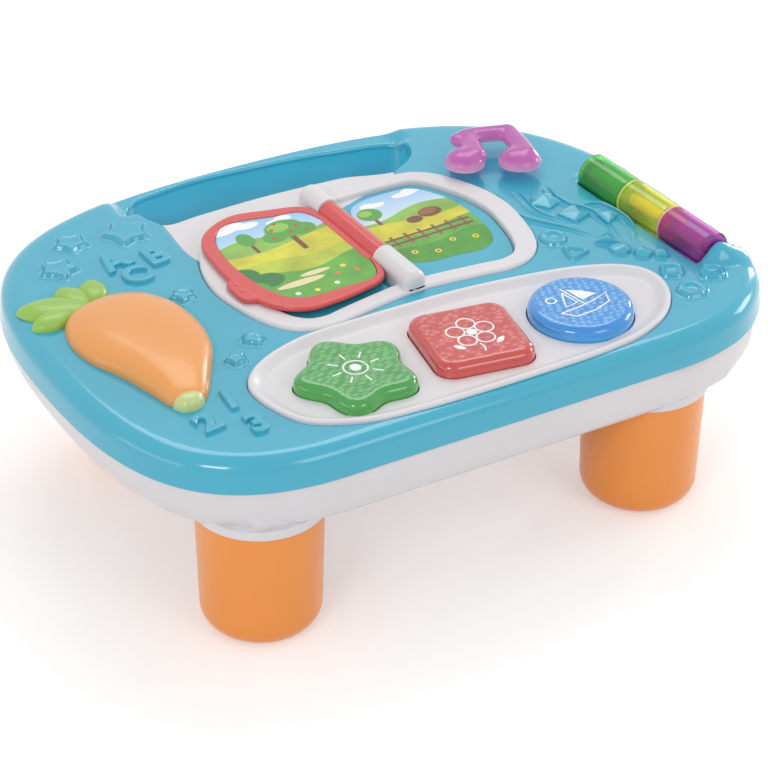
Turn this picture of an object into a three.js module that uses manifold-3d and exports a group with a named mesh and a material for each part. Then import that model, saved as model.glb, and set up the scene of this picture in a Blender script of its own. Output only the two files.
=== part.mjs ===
// A musical activity table: a hollow two-part table top on four plug-in legs, with a turning page,
// three push buttons in a tray, a note-shaped key, a three-colour roller and a moulded carrot.
// Millimetres, +Z up, front towards -Y, standing on Z = 0.

import * as THREE from "three";
import { mergeVertices } from "three/addons/utils/BufferGeometryUtils.js";
import Module from "manifold-3d";

const wasm = await Module();
wasm.setup();

// Table top
const tableLength = 428;
const tableDepth = 319;
const halfLength = tableLength / 2;
const halfDepth = tableDepth / 2;
const borderHeight = 110.8;
const topHeight = 131;
const bandHeight = 10;
const bandInset = 1;
const edgeRunFront = 10;
const edgeRunSide = 12;
const shellWall = 2.5;
const overrun = 3;
const gap = 0.3;
const smallestEdge = 0.05;
const roundSides = 16;
const outlineCount = 44;

// Lower housing
const housingBottom = 83;
const housingFootSide = 15;
const housingFootFront = 7;
const floorWall = 2.5;
const floorTop = housingBottom + floorWall;
const hollowFootSide = 17;
const hollowFootFront = 9;

// Legs and their sockets
const legRadius = 37;
const legFootRadius = 35.4;
const legFootRound = 13;
const legWall = 3;
const legNeckRadius = 33;
const legNeckLength = 16;
const collarRadius = 38.8;
const collarBottom = 79.8;
const collarDraft = 0.2;
const frontLegX = [-135, 124];
const frontLegY = -117;
const backLegX = [-121, 112];
const backLegY = 66;

// Carrying slot and handle bar along the back
const slotCentreX = 3.5;
const slotCentreY = 122.2;
const slotLength = 190;
const slotDepth = 56.2;
const slotWallBottom = 98;
const handleTop = 127.5;
const handleLeft = -97;
const handleRight = 99;
const handleFront = 128;

// Book: white frame, blue base, turning page
const bookX = 9.8;
const bookY = 31.3;
const bookTurn = THREE.MathUtils.degToRad(2.2);
const spineHeight = 135.4;
const frameWidth = 206.4;
const frameDepth = 133;
const frameFront = -78.3;
const frameTop = 133.2;
const frameBottom = 125.8;
const frameRound = 2.2;
const rimSide = 15;
const rimFront = 11;
const ledgeTop = 130;
const basePlateThickness = 2;
const baseMargin = 5;
const padHeight = 2;
const cardThickness = 0.6;
const padInset = 1;
const spineValley = 11;
const pocketFloorTop = 125.5;

// Page
const pageThickness = 3.6;
const pageWidth = 84.4;
const pageDepth = 117;
const pageInner = 8.6;
const pageFront = -61.8;
const tabWidth = 26;
const tabReach = 4;
const tabCentre = -21;
const barrelRadius = 6.7;
const barrelLength = 63.2;
const pinRadius = 1.6;
const pinOverhang = 12;
const capHalfWidth = 7.8;
const frontCapLength = 38;
const rearCapLength = 25;

// Tray and push buttons
const trayX = 10.5;
const trayY = -99.9;
const trayLength = 269.4;
const trayDepth = 100.4;
const trayLip = 133.4;
const trayBottom = 125.8;
const trayLipWidth = 4;
const trayFloorTop = 129;
const trayFloorWall = 2;
const trayEdgeRise = 1;
const trayEdgeRound = 1.5;
const dishFloorRun = 11;
const dishCoveRun = 7;
const dishCoveRise = 1;
const dishMouthRun = 3;
const trayUnderInset = 5;
const traySeat = 6;
const buttonTop = 137.5;
const buttonRound = 4;
const buttonBottom = 120;
const plungerBottom = 118.5;
const buttonWall = 2.4;
const buttonClearance = 0.5;
const flangeWidth = 2;
const flangeThickness = 2;
const flangeDrop = 0.3;
const plungerRadius = 4;
const starX = -64.9;
const starY = -101.7;
const starTipRadius = 36.5;
const starNotchRadius = 28.5;
const starTurn = THREE.MathUtils.degToRad(98);
const squareX = 10;
const squareY = -102.6;
const squareSide = 61;
const squareCorner = 11;
const squareTurn = THREE.MathUtils.degToRad(-9);
const circleX = 82.5;
const circleY = -108;
const circleRadius = 31.3;

// Note key
const noteX = 125;
const noteY = 60.3;
const noteTurn = THREE.MathUtils.degToRad(-26.5);
const islandTop = 137;
const islandWidth = 76;
const islandDepth = 66;
const islandShift = 12;
const islandFoot = 1;
const islandEdge = 1;
const islandRound = 1.2;
const noteGap = 1.3;
const noteHeadRadius = 13.5;
const noteHeadHeight = 11;
const noteHeadSpread = 17.6;
const noteBarRadius = 6;
const noteBarLift = 3.5;
const noteStemReach = 30;
const noteHeadDepthShare = 0.92;
const noteStemInsetShare = 0.7;
const noteFlagShare = 1.6;
const noteFlagDrop = 4;
const notePegRadius = 4;
const notePegBottom = 118.5;
const pegClearance = 0.6;

// Roller
const rollerX = 182;
const rollerY = -34;
const rollerTurn = THREE.MathUtils.degToRad(4.4);
const rollerHeight = 136;
const rollerRadius = 12;
const rollerLength = 117;
const rollerSegments = 3;
const segmentGap = 0.6;
const rollerWall = 2;
const drumRim = 1;
const rollerRunning = 1.2;
const rollerEndGap = 0.6;
const troughWall = 2.5;
const axleRadius = 2.5;
const axleOverhang = 5;
const axleClearance = 0.35;
const humpAcross = 16;
const humpAlong = 24;
const humpHeight = 17;
const humpSink = 8;

// Carrot relief
const carrotTipX = -159;
const carrotTipY = -81;
const carrotLength = 120;
const carrotHalfWidth = 36.5;
const carrotHeight = 13.5;
const leafHeight = 6.5;
const tipRadius = 7.5;
const tipForward = 3;

// Raised marks on the table top
const markHeight = 1.6;
const markSink = 0.6;
const staffRadius = 1.5;
const glyphSize = 15;
const glyphWidth = 4.2;
const starMarkRadius = 10;
const shapeMarkRadius = 8;
const starNotchShare = 0.58;
const starTurnStep = 0.35;
const hollowWidthShare = 0.45;

// Inner parts
const boardThickness = 1.6;
const boardHeight = 112;
const boardLeft = -104;
const boardRight = 100;
const boardFront = -132;
const boardBack = -74;
const noteBoardHalf = 28;
const noteBoardWidth = 11;
const padRadius = 5;
const padWall = 0.9;
const ledRadius = 2.5;
const ledHeight = 5;
const postRadius = 3.2;
const speakerRadius = 28;
const speakerX = 40;
const speakerY = 15;
const speakerHeight = 12;
const grilleSlotWidth = 2.6;
const grilleSlotStep = 6.4;
const grilleSlotCount = 7;
const bayX = -45;
const bayY = 20;
const bayLength = 62;
const bayWidth = 48;
const bayHeight = 19;
const bayWall = 2;
const doorLip = 4;
const doorThickness = 3.4;
const doorSeat = 2.6;
const doorTabReach = 11;
const doorTabWidth = 14;
const doorScrewInset = 6;
const doorScrewLength = 9;
const doorBossHeight = 13;
const cellRadius = 7.1;
const cellLength = 50;
const cellCount = 3;
const switchX = 0;
const switchY = 89;
const switchLength = 22;
const switchWidth = 9;
const switchTravel = 6;
const knobLength = 7;
const knobFlange = 2;
const knobFlangeThickness = 1.6;
const knobProud = 1;
const bossRadius = 5;
const upperBossRadius = 4;
const bossSplit = 99;
const screwHeadRadius = 3.4;
const screwHeadHeight = 2.4;
const screwRadius = 1.5;
const screwLength = 20;
const screwRecess = 7;
const screwHeadLow = housingBottom + screwRecess - screwHeadHeight;
const screwTop = screwHeadLow + screwHeadHeight + screwLength;
const screwShares = [
  [-0.888, 0.125], [0.888, 0.125], [-0.35, -0.931], [0.29, -0.931],
  [-0.28, 0.564], [0.234, 0.539],
];
const screwPlaces = screwShares.map(([x, y]) => [x * halfLength, y * halfDepth]);

// Outlines, as shares of the half length and half depth that they follow
const tableArcShares = {
  frontLeft: [-0.47, -1],
  frontRight: [0.52, -1],
  right: [1, -0.23],
  back: [-0.1, 1],
  left: [-1, -0.03],
  handles: [0.42, 0.48, 1.12, 0.68, 0.79, 0.68, 0.58, 0.44],
};
const slotShares = [
  [-0.88, -0.66], [-0.65, -0.61], [-0.16, -0.57], [0.2, -0.63], [0.42, -0.7], [0.6, -0.9],
  [0.73, -0.99], [0.85, -0.82], [0.945, -0.55], [0.99, -0.3], [1, -0.05], [0.95, 0.28],
  [0.82, 0.48], [0.6, 0.63], [0.3, 0.82], [-0.04, 0.93], [-0.4, 1], [-0.7, 0.91], [-0.93, 0.74],
  [-1, 0.42], [-0.98, -0.2], [-0.94, -0.52],
];
const frameHalfShares = [
  [0, 0.06], [0.2, 0.045], [0.42, 0.02], [0.6, 0], [0.75, 0.025], [0.86, 0.095], [0.925, 0.19],
  [0.975, 0.34], [1, 0.5], [0.965, 0.67], [0.89, 0.81], [0.81, 0.91], [0.7, 0.975], [0.5, 1],
];
const ledgeShares = [
  [-0.86, 0.76], [0.25, 0.9], [0.48, 0.985], [0.58, 1.005], [0.64, 1.03], [0.55, 1.2],
  [0, 1.24], [-0.6, 1.24], [-0.84, 1.24], [-0.89, 1.1],
];
const pageShares = [
  [0, 0.14], [0.07, 0.06], [0.31, 0.015], [0.5, 0], [0.7, 0.005], [0.83, 0.055], [0.93, 0.15],
  [0.985, 0.29], [1, 0.45], [0.985, 0.63], [0.935, 0.82], [0.86, 0.9], [0.71, 0.97], [0.54, 1],
  [0.29, 0.955], [0.05, 0.895], [0, 0.84],
];
const pageWindowShares = [
  [0.075, 0.11], [0.38, 0.085], [0.64, 0.094], [0.756, 0.141], [0.837, 0.26], [0.884, 0.47],
  [0.878, 0.662], [0.826, 0.808], [0.709, 0.915], [0.593, 0.932], [0.326, 0.885], [0.075, 0.829],
];
const wellCardShares = [
  [0.17, 0.29], [0.45, 0.24], [0.58, 0.225], [0.68, 0.25], [0.74, 0.33], [0.765, 0.47],
  [0.76, 0.63], [0.71, 0.76], [0.62, 0.86], [0.52, 0.885], [0.17, 0.84],
];
const trayShares = [
  [-1, 0.2], [-0.98, 0.42], [-0.91, 0.64], [-0.79, 0.83], [-0.61, 0.97], [-0.37, 1], [-0.1, 1],
  [0.16, 0.98], [0.45, 0.89], [0.73, 0.74], [0.91, 0.52], [0.99, 0.27], [1, -0.05], [0.95, -0.38],
  [0.84, -0.68], [0.66, -0.9], [0.45, -0.98], [0.14, -1], [-0.16, -1], [-0.42, -0.98],
  [-0.64, -0.92], [-0.82, -0.74], [-0.92, -0.53], [-0.98, -0.16],
];
const islandShares = [
  [-0.98, -0.12], [-0.8, -0.78], [-0.45, -1], [-0.12, -0.82], [0.06, -0.68], [0.2, -0.82],
  [0.52, -1], [0.86, -0.76], [1, -0.1], [0.96, 0.55], [0.75, 0.95], [0.2, 1], [-0.35, 0.88],
  [-0.8, 0.62], [-0.97, 0.25],
];
const carrotShares = [
  [0, 0.14, 0.42], [0.05, 0.3, 0.6], [0.16, 0.44, 0.8], [0.3, 0.63, 0.95], [0.45, 0.84, 1],
  [0.6, 0.97, 1], [0.74, 1, 0.98], [0.86, 0.9, 0.86], [0.95, 0.66, 0.62], [1, 0.3, 0.3],
];
const carrotBendShares = [
  [0, 0], [0.035, 0.2], [0.06, 0.45], [0.03, 0.7], [-0.015, 1],
];
const leafShares = [
  { along: 1.03, across: -0.2, length: 0.19, width: 0.1, turn: 2.7 },
  { along: 1.08, across: -0.09, length: 0.12, width: 0.08, turn: 1.8 },
  { along: 1.09, across: 0.02, length: 0.11, width: 0.075, turn: 1.2 },
  { along: 0.95, across: -0.25, length: 0.12, width: 0.07, turn: 3.3 },
];

const colours = {
  blue: 0x4ab0cc,
  white: 0xe4e2e3,
  orange: 0xf2a055,
  red: 0xe0645f,
  green: 0x50af55,
  lightGreen: 0x9ac45a,
  glassBlue: 0x3c91d7,
  pink: 0xc86ebe,
  yellow: 0xdeda3c,
  purple: 0xa54196,
  paper: 0xdcebf5,
  steel: 0xb4b6b8,
  board: 0x2f6b3f,
  dark: 0x2b2b2d,
  rubber: 0xd8d5cf,
};

// Surface finish of each kind of material
function finish(colour, roughness = 0.25, metalness = 0) {
  return new THREE.MeshStandardMaterial({ color: colour, roughness, metalness });
}

// A closed solid from a geometry whose vertices are shared
function solidOf(geometry) {
  const source = geometry.index ? geometry.toNonIndexed() : geometry;
  const bare = new THREE.BufferGeometry();
  bare.setAttribute("position", source.getAttribute("position").clone());
  const merged = mergeVertices(bare);
  return new wasm.Manifold(
    new wasm.Mesh({
      numProp: 3,
      vertProperties: merged.attributes.position.array,
      triVerts: new Uint32Array(merged.index.array),
    }),
  );
}

function geometryOf(solid) {
  const mesh = solid.getMesh();
  const geometry = new THREE.BufferGeometry();
  geometry.setAttribute("position", new THREE.BufferAttribute(mesh.vertProperties, 3));
  geometry.setIndex(new THREE.BufferAttribute(mesh.triVerts, 1));
  geometry.computeVertexNormals();
  return geometry;
}

function joined(...solids) {
  return solids.reduce((sum, solid) => sum.add(solid));
}

function cutBy(solid, ...cutters) {
  return cutters.reduce((rest, cutter) => rest.subtract(cutter), solid);
}

// Closed loft through rings of equal count, stacked upwards and anticlockwise seen from above
function loft(rings) {
  const count = rings[0].length;
  const positions = [];
  const index = [];
  rings.forEach((ring) => ring.forEach((p) => positions.push(p.x, p.y, p.z)));
  for (let level = 0; level + 1 < rings.length; level += 1) {
    for (let i = 0; i < count; i += 1) {
      const a = level * count + i;
      const b = level * count + ((i + 1) % count);
      index.push(a, b, b + count, a, b + count, a + count);
    }
  }
  const lowest = rings[0].map((p) => new THREE.Vector2(p.x, p.y));
  THREE.ShapeUtils.triangulateShape(lowest, []).forEach(([a, b, c]) => index.push(a, c, b));
  const top = (rings.length - 1) * count;
  const highest = rings[rings.length - 1].map((p) => new THREE.Vector2(p.x, p.y));
  THREE.ShapeUtils.triangulateShape(highest, []).forEach(([a, b, c]) =>
    index.push(top + a, top + b, top + c),
  );
  const geometry = new THREE.BufferGeometry();
  geometry.setAttribute("position", new THREE.Float32BufferAttribute(positions, 3));
  geometry.setIndex(index);
  return geometry;
}

// Outward normal of each point of an anticlockwise outline
function outlineNormals(outline) {
  return outline.map((point, i) => {
    const before = outline[(i + outline.length - 1) % outline.length];
    const after = outline[(i + 1) % outline.length];
    const along = after.clone().sub(before).normalize();
    return new THREE.Vector2(along.y, -along.x);
  });
}

// The outline moved inwards, by one amount where it faces sideways and another where it faces front or back
function inset(outline, side, front = side) {
  const normals = outlineNormals(outline);
  return outline.map((point, i) => {
    const n = normals[i];
    const amount = side * n.x * n.x + front * n.y * n.y;
    return point.clone().addScaledVector(n, -amount);
  });
}

function atHeight(outline, z) {
  return outline.map((p) => new THREE.Vector3(p.x, p.y, z));
}

// A solid whose walls follow levels of [height, side inset, front inset]
function walled(outline, levels) {
  return solidOf(
    loft(levels.map(([z, side, front = side]) => atHeight(inset(outline, side, front), z))),
  );
}

function slab(outline, low, high) {
  return walled(outline, [[low, 0], [high, 0]]);
}

function smoothOutline(points, count) {
  const curve = new THREE.CatmullRomCurve3(
    points.map(([x, y]) => new THREE.Vector3(x, y, 0)), true, "centripetal",
  );
  return curve.getSpacedPoints(count).slice(0, count).map((p) => new THREE.Vector2(p.x, p.y));
}

function circleOutline(radius, count) {
  return Array.from({ length: count }, (_, i) => {
    const angle = (i / count) * Math.PI * 2;
    return new THREE.Vector2(radius * Math.cos(angle), radius * Math.sin(angle));
  });
}

function placed(outline, x, y, turn = 0) {
  const centre = new THREE.Vector2(x, y);
  return outline.map((p) => p.clone().rotateAround(new THREE.Vector2(), turn).add(centre));
}

function box(lowX, lowY, lowZ, highX, highY, highZ) {
  const geometry = new THREE.BoxGeometry(highX - lowX, highY - lowY, highZ - lowZ);
  geometry.translate((lowX + highX) / 2, (lowY + highY) / 2, (lowZ + highZ) / 2);
  return solidOf(geometry);
}

function post(x, y, radius, low, high, count = 16) {
  return slab(placed(circleOutline(radius, count), x, y), low, high);
}

// A round bar along Y
function barAlong(x, y, z, radius, length, count) {
  const geometry = new THREE.CylinderGeometry(radius, radius, length, count);
  geometry.translate(x, y, z);
  return solidOf(geometry);
}

// A round solid from a profile of [radius, height] that starts and ends on the axis or closes on itself
function turned(profile, count) {
  const points = profile.map(([radius, height]) => new THREE.Vector2(radius, height));
  const geometry = new THREE.LatheGeometry(points, count);
  geometry.rotateX(Math.PI / 2);
  return solidOf(geometry);
}

function moved(solid, x, y, z = 0, turn = 0) {
  return solid.rotate([0, 0, THREE.MathUtils.radToDeg(turn)]).translate([x, y, z]);
}

const table = new THREE.Group();

function addPart(parent, name, solid, material) {
  const mesh = new THREE.Mesh(geometryOf(solid.simplify(smallestEdge)), material);
  mesh.name = name;
  parent.add(mesh);
  return mesh;
}

// The table outline: a straight front edge and four sweeping arcs
function tableOutline() {
  const { frontLeft, frontRight, right, back, left, handles } = tableArcShares;
  const at = ([x, y]) => [x * halfLength, y * halfDepth];
  const shape = new THREE.Shape();
  shape.moveTo(...at(frontLeft));
  shape.lineTo(...at(frontRight));
  const arc = (from, fromHandle, toHandle, to) =>
    shape.bezierCurveTo(
      ...at([from[0] + fromHandle[0], from[1] + fromHandle[1]]),
      ...at([to[0] + toHandle[0], to[1] + toHandle[1]]),
      ...at(to),
    );
  arc(frontRight, [handles[0], 0], [0, -handles[1]], right);
  arc(right, [0, handles[2]], [handles[3], 0], back);
  arc(back, [-handles[4], 0], [0, handles[5]], left);
  arc(left, [0, -handles[6]], [-handles[7], 0], frontLeft);
  return shape.getSpacedPoints(outlineCount).slice(0, outlineCount);
}

const outline = tableOutline();

// Levels of the rounded upper edge of the table top, from the band to the flat
function edgeLevels(extra) {
  const bandTop = borderHeight + bandHeight;
  const rise = topHeight - bandTop;
  const steps = 3;
  return Array.from({ length: steps + 1 }, (_, i) => {
    const angle = (i / steps) * (Math.PI / 2);
    const run = 1 - Math.cos(angle);
    return [
      bandTop + (rise - extra) * Math.sin(angle),
      bandInset + extra + edgeRunSide * run,
      bandInset + extra + edgeRunFront * run,
    ];
  });
}

function scaledShares(shares, halfX, halfY) {
  return shares.map(([x, y]) => [x * halfX, y * halfY]);
}

const slotOutline = placed(
  smoothOutline(scaledShares(slotShares, slotLength / 2, slotDepth / 2), 32),
  slotCentreX,
  slotCentreY,
);

// Book outlines, in the book's own frame with the spine at X = 0
function inFrame([x, y]) {
  return [(x * frameWidth) / 2, frameFront + y * frameDepth];
}

function mirrored(half) {
  const rightSide = half.map(inFrame);
  const leftSide = rightSide.slice(1).reverse().map(([x, y]) => [-x, y]);
  return rightSide.concat(leftSide);
}

function pageLoop(shares, count) {
  const points = shares.map(([x, y]) => [-pageInner - x * pageWidth, pageFront + y * pageDepth]);
  return smoothOutline(points, count).reverse();
}

const frameOutline = smoothOutline(mirrored(frameHalfShares), 36);
const ledgeOutline = smoothOutline(ledgeShares.map(inFrame), 24);
const wellOutline = inset(frameOutline, rimSide, rimFront);
const pageOutline = pageLoop(pageShares, 30);
const windowOutline = pageLoop(pageWindowShares, 20);
const trayOutline = placed(
  smoothOutline(scaledShares(trayShares, trayLength / 2, trayDepth / 2).reverse(), 32),
  trayX,
  trayY,
);
const islandOutline = placed(
  smoothOutline(scaledShares(islandShares, islandWidth / 2, islandDepth / 2), 22),
  0,
  islandShift,
);

// Button outlines
function starOutline() {
  const middle = (starTipRadius + starNotchRadius) / 2;
  const swing = (starTipRadius - starNotchRadius) / 2;
  const count = 30;
  return Array.from({ length: count }, (_, i) => {
    const angle = (i / count) * Math.PI * 2;
    const radius = middle + swing * Math.cos(5 * angle);
    return new THREE.Vector2(radius, 0).rotateAround(new THREE.Vector2(), angle + starTurn);
  });
}

function squareOutline() {
  const half = squareSide / 2;
  const core = half - squareCorner;
  const corner = 4;
  const points = [];
  [[1, -1], [1, 1], [-1, 1], [-1, -1]].forEach(([x, y], quarter) => {
    for (let i = 0; i <= corner; i += 1) {
      const angle = (quarter - 1 + i / corner) * (Math.PI / 2);
      points.push(
        new THREE.Vector2(
          x * core + squareCorner * Math.cos(angle),
          y * core + squareCorner * Math.sin(angle),
        ),
      );
    }
  });
  return points;
}

const buttons = [
  { name: "star_button", outline: starOutline(), x: starX, y: starY, turn: 0, colour: colours.green },
  { name: "square_button", outline: squareOutline(), x: squareX, y: squareY, turn: squareTurn,
    colour: colours.red },
  { name: "circle_button", outline: circleOutline(circleRadius, 24), x: circleX, y: circleY,
    turn: 0, colour: colours.glassBlue },
];

// Everything that the two housing halves share
const legPlaces = [
  ["leg_front_left", frontLegX[0], frontLegY],
  ["leg_front_right", frontLegX[1], frontLegY],
  ["leg_back_left", backLegX[0], backLegY],
  ["leg_back_right", backLegX[1], backLegY],
];

// Raised marks: stars, letters, digits, simple shapes and a sweeping staff
function starMark(radius, count = 5) {
  const points = [];
  for (let i = 0; i < count * 2; i += 1) {
    const angle = (i / (count * 2)) * Math.PI * 2 + Math.PI / 2;
    const reach = i % 2 ? radius * starNotchShare : radius;
    points.push(new THREE.Vector2(reach * Math.cos(angle), reach * Math.sin(angle)));
  }
  return points;
}

function ringMark(radius, sides, width) {
  const outer = circleOutline(radius, sides);
  const inner = circleOutline(radius - width, sides);
  return { outer, inner };
}

const markLow = topHeight - markSink;
const markHigh = topHeight + markHeight;

function strokeMark(strokes, size, width) {
  const bars = strokes.map(([x1, y1, x2, y2]) => {
    const from = new THREE.Vector2(x1 * size, y1 * size);
    const to = new THREE.Vector2(x2 * size, y2 * size);
    const length = from.distanceTo(to) + width;
    const angle = to.clone().sub(from).angle();
    const half = width / 2;
    const bar = [
      new THREE.Vector2(-length / 2, -half), new THREE.Vector2(length / 2, -half),
      new THREE.Vector2(length / 2, half), new THREE.Vector2(-length / 2, half),
    ];
    const middle = from.add(to).multiplyScalar(1 / 2);
    return slab(placed(bar, middle.x, middle.y, angle), markLow, markHigh);
  });
  return joined(...bars);
}

const glyphStrokeShares = {
  A: [[-0.4, -0.5, 0, 0.5], [0.4, -0.5, 0, 0.5], [-0.24, -0.12, 0.24, -0.12]],
  B: [[-0.3, -0.5, -0.3, 0.5], [-0.3, 0.5, 0.24, 0.28], [0.24, 0.28, -0.3, 0.04],
    [-0.3, 0.04, 0.3, -0.24], [0.3, -0.24, -0.3, -0.5]],
  C: [[0.34, 0.34, -0.1, 0.46], [-0.1, 0.46, -0.34, 0], [-0.34, 0, -0.1, -0.46],
    [-0.1, -0.46, 0.34, -0.34]],
  1: [[0.04, -0.5, 0.04, 0.5], [0.04, 0.5, -0.22, 0.26]],
  2: [[-0.28, 0.4, 0.24, 0.36], [0.24, 0.36, -0.28, -0.46], [-0.28, -0.46, 0.32, -0.46]],
  3: [[-0.28, 0.46, 0.26, 0.28], [0.26, 0.28, -0.06, 0.04], [-0.06, 0.04, 0.28, -0.24],
    [0.28, -0.24, -0.28, -0.48]],
};
const glyphPlaceShares = [
  ["A", -0.612, 0.473, 0.25], ["B", -0.493, 0.436, 0.05], ["C", -0.584, 0.351, 0],
  ["1", -0.647, -0.564, -0.1], ["2", -0.744, -0.652, 0.15], ["3", -0.632, -0.737, 0],
];
const starPlaceShares = [
  [-0.671, 0.683, 1], [-0.509, 0.655, 1.4], [-0.759, 0.533, 1.1], [-0.519, 0.141, 0.75],
  [-0.453, -0.248, 0.7], [-0.541, -0.339, 0.65], [0.61, 0.125, 1], [0.652, -0.082, 0.6],
  [0.727, -0.113, 0.6],
];
const shapePlaceShares = [
  [0.54, -0.16, 12, 0.88], [0.547, -0.301, 3, 1.12], [0.73, -0.583, 4, 1.12], [0.827, -0.655, 12, 1],
  [0.722, -0.727, 6, 1.06], [0.664, -0.367, 8, 0.62], [0.713, -0.401, 3, 0.81],
  [0.759, -0.439, 8, 0.62],
];
const staffPathShares = [
  [[0.528, 0.251], [0.498, 0.088], [0.535, -0.05], [0.612, -0.169], [0.638, -0.257]],
  [[0.593, 0.238], [0.598, 0.188]],
  [[0.682, 0.194], [0.683, 0.1], [0.717, 0.006], [0.764, -0.05], [0.776, -0.163], [0.752, -0.282],
    [0.724, -0.345]],
  [[0.701, -0.063], [0.738, -0.15], [0.71, -0.263], [0.678, -0.313]],
];

function staffLine(points) {
  const path = new THREE.CatmullRomCurve3(
    points.map(([x, y]) => new THREE.Vector3(x * halfLength, y * halfDepth, topHeight)),
  );
  const section = new THREE.Shape(circleOutline(staffRadius, 4));
  const steps = points.length + 2;
  return solidOf(
    new THREE.ExtrudeGeometry(section, { steps, bevelEnabled: false, extrudePath: path }),
  );
}

function raisedMarks() {
  const stars = starPlaceShares.map(([x, y, share], i) =>
    slab(placed(starMark(starMarkRadius * share), x * halfLength, y * halfDepth, i * starTurnStep),
      markLow, markHigh),
  );
  const glyphs = glyphPlaceShares.map(([glyph, x, y, turn]) =>
    moved(strokeMark(glyphStrokeShares[glyph], glyphSize, glyphWidth), x * halfLength, y * halfDepth,
      0, turn),
  );
  const shapes = shapePlaceShares.map(([across, along, sides, share]) => {
    const x = across * halfLength;
    const y = along * halfDepth;
    const radius = shapeMarkRadius * share;
    const { outer, inner } = ringMark(radius, sides, radius * hollowWidthShare);
    return cutBy(
      slab(placed(outer, x, y, Math.PI / sides), markLow, markHigh),
      slab(placed(inner, x, y, Math.PI / sides), topHeight + markHeight / 3, markHigh + overrun),
    );
  });
  return [...stars, ...glyphs, ...shapes, ...staffPathShares.map(staffLine)];
}

// The turn and move that carry a solid from the table's frame into the book's
const tableInBook = [
  -bookX * Math.cos(bookTurn) - bookY * Math.sin(bookTurn),
  bookX * Math.sin(bookTurn) - bookY * Math.cos(bookTurn),
  0,
  -bookTurn,
];

// Places in the book's frame, carried to the table
function inBook(outlinePoints) {
  return placed(outlinePoints, bookX, bookY, bookTurn);
}

function inNote(outlinePoints) {
  return placed(outlinePoints, noteX, noteY, noteTurn);
}

function inRoller(solid) {
  return moved(solid, rollerX, rollerY, 0, rollerTurn);
}

const notePegs = [-noteHeadSpread, noteHeadSpread].map((x) => inNote([new THREE.Vector2(x, 0)])[0]);

// A half ellipsoid that covers one end of the roller
function rollerHump(side) {
  const dome = new THREE.SphereGeometry(1, 16, 8);
  dome.scale(humpAcross, humpAlong, humpHeight + humpSink);
  const end = rollerLength / 2 + rollerEndGap;
  dome.translate(0, side * end, topHeight - humpSink);
  const reach = humpAlong + overrun;
  const keep = side > 0
    ? box(-humpAcross - overrun, end, topHeight - markSink, humpAcross + overrun, end + reach,
      topHeight + humpHeight + overrun)
    : box(-humpAcross - overrun, -end - reach, topHeight - markSink, humpAcross + overrun, -end,
      topHeight + humpHeight + overrun);
  return solidOf(dome).intersect(keep);
}

function topShell() {
  const innerTop = topHeight - shellWall;
  const outer = walled(outline, [[borderHeight, 0], ...edgeLevels(0)]);
  const hollow = walled(outline, [
    [borderHeight - overrun, shellWall],
    ...edgeLevels(shellWall).filter((level, i) => i !== 2),
  ]);
  const pocketBottom = pocketFloorTop - shellWall;
  const bookPocket = inBook(inset(frameOutline, -gap));
  const ledgePocket = inBook(inset(ledgeOutline, -gap));
  const trayPocket = inset(trayOutline, -gap);
  const end = rollerLength / 2 + rollerEndGap;
  const bore = rollerRadius + rollerRunning;
  const troughBottom = rollerHeight - bore - troughWall;
  const trough = barAlong(0, 0, rollerHeight, bore + troughWall, 2 * (end + troughWall), 24)
    .intersect(box(-bore - troughWall, -end - troughWall, troughBottom, bore + troughWall,
      end + troughWall, topHeight - markSink));
  const bar = outer.intersect(box(handleLeft - shellWall, handleFront - shellWall,
    handleTop - shellWall, handleRight + shellWall, tableDepth, topHeight - markSink));
  const added = joined(
    cutBy(outer, hollow),
    bar,
    slab(inset(slotOutline, -shellWall), slotWallBottom, topHeight - markSink),
    slab(inBook(inset(frameOutline, -gap - shellWall)), pocketBottom, innerTop + markSink),
    slab(inBook(inset(ledgeOutline, -gap - shellWall)), pocketBottom, innerTop + markSink),
    slab(inset(trayOutline, -gap - shellWall), pocketBottom, innerTop + markSink),
    inRoller(trough),
    inRoller(rollerHump(1)),
    inRoller(rollerHump(-1)),
    walled(inNote(islandOutline), [
      [innerTop, -islandFoot], [topHeight, -islandFoot], [islandTop - islandEdge, 0],
      [islandTop, islandRound],
    ]),
    ...raisedMarks(),
    ...screwPlaces.map(([x, y]) => post(x, y, upperBossRadius, bossSplit + gap,
      innerTop + markSink, 8)),
  );
  return cutBy(
    added,
    slab(slotOutline, slotWallBottom - overrun, topHeight + overrun),
    box(handleLeft, handleFront, handleTop, handleRight, tableDepth, topHeight + overrun),
    slab(bookPocket, pocketFloorTop, islandTop + overrun),
    slab(ledgePocket, pocketFloorTop, topHeight + overrun),
    slab(trayPocket, pocketFloorTop, topHeight + overrun),
    slab(inset(trayOutline, traySeat), pocketBottom - overrun, pocketFloorTop + overrun),
    inRoller(barAlong(0, 0, rollerHeight, bore, 2 * end, 24)),
    inRoller(barAlong(0, 0, rollerHeight, axleRadius + axleClearance,
      rollerLength + 2 * (axleOverhang + axleClearance), 12)),
    ...notePegs.map((p) => post(p.x, p.y, notePegRadius + pegClearance, borderHeight,
      islandTop + overrun)),
    ...screwPlaces.map(([x, y]) => post(x, y, screwRadius + gap, bossSplit - overrun, screwTop + gap, 6)),
  );
}

// Levels of the lower housing, set in more at its sides than at its front and back, each as shares
// of its height, its inset at the sides and its inset at the front and back
const housingShares = [
  [0, 1, 1], [0.04, 0.8, 0.6], [0.15, 0.6, 0.31], [0.33, 0.4, 0.2], [0.62, 0.17, 0.14], [1, 0.05, 0.11],
];
const hollowShares = [
  [0, 1, 1], [0.13, 0.68, 0.53], [0.31, 0.5, 0.44], [1, 0.2, 0.38],
];

function levelsOf(shares, low, high, side, front) {
  return shares.map(([rise, across, along]) => [low + rise * (high - low), side * across, front * along]);
}

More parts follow.
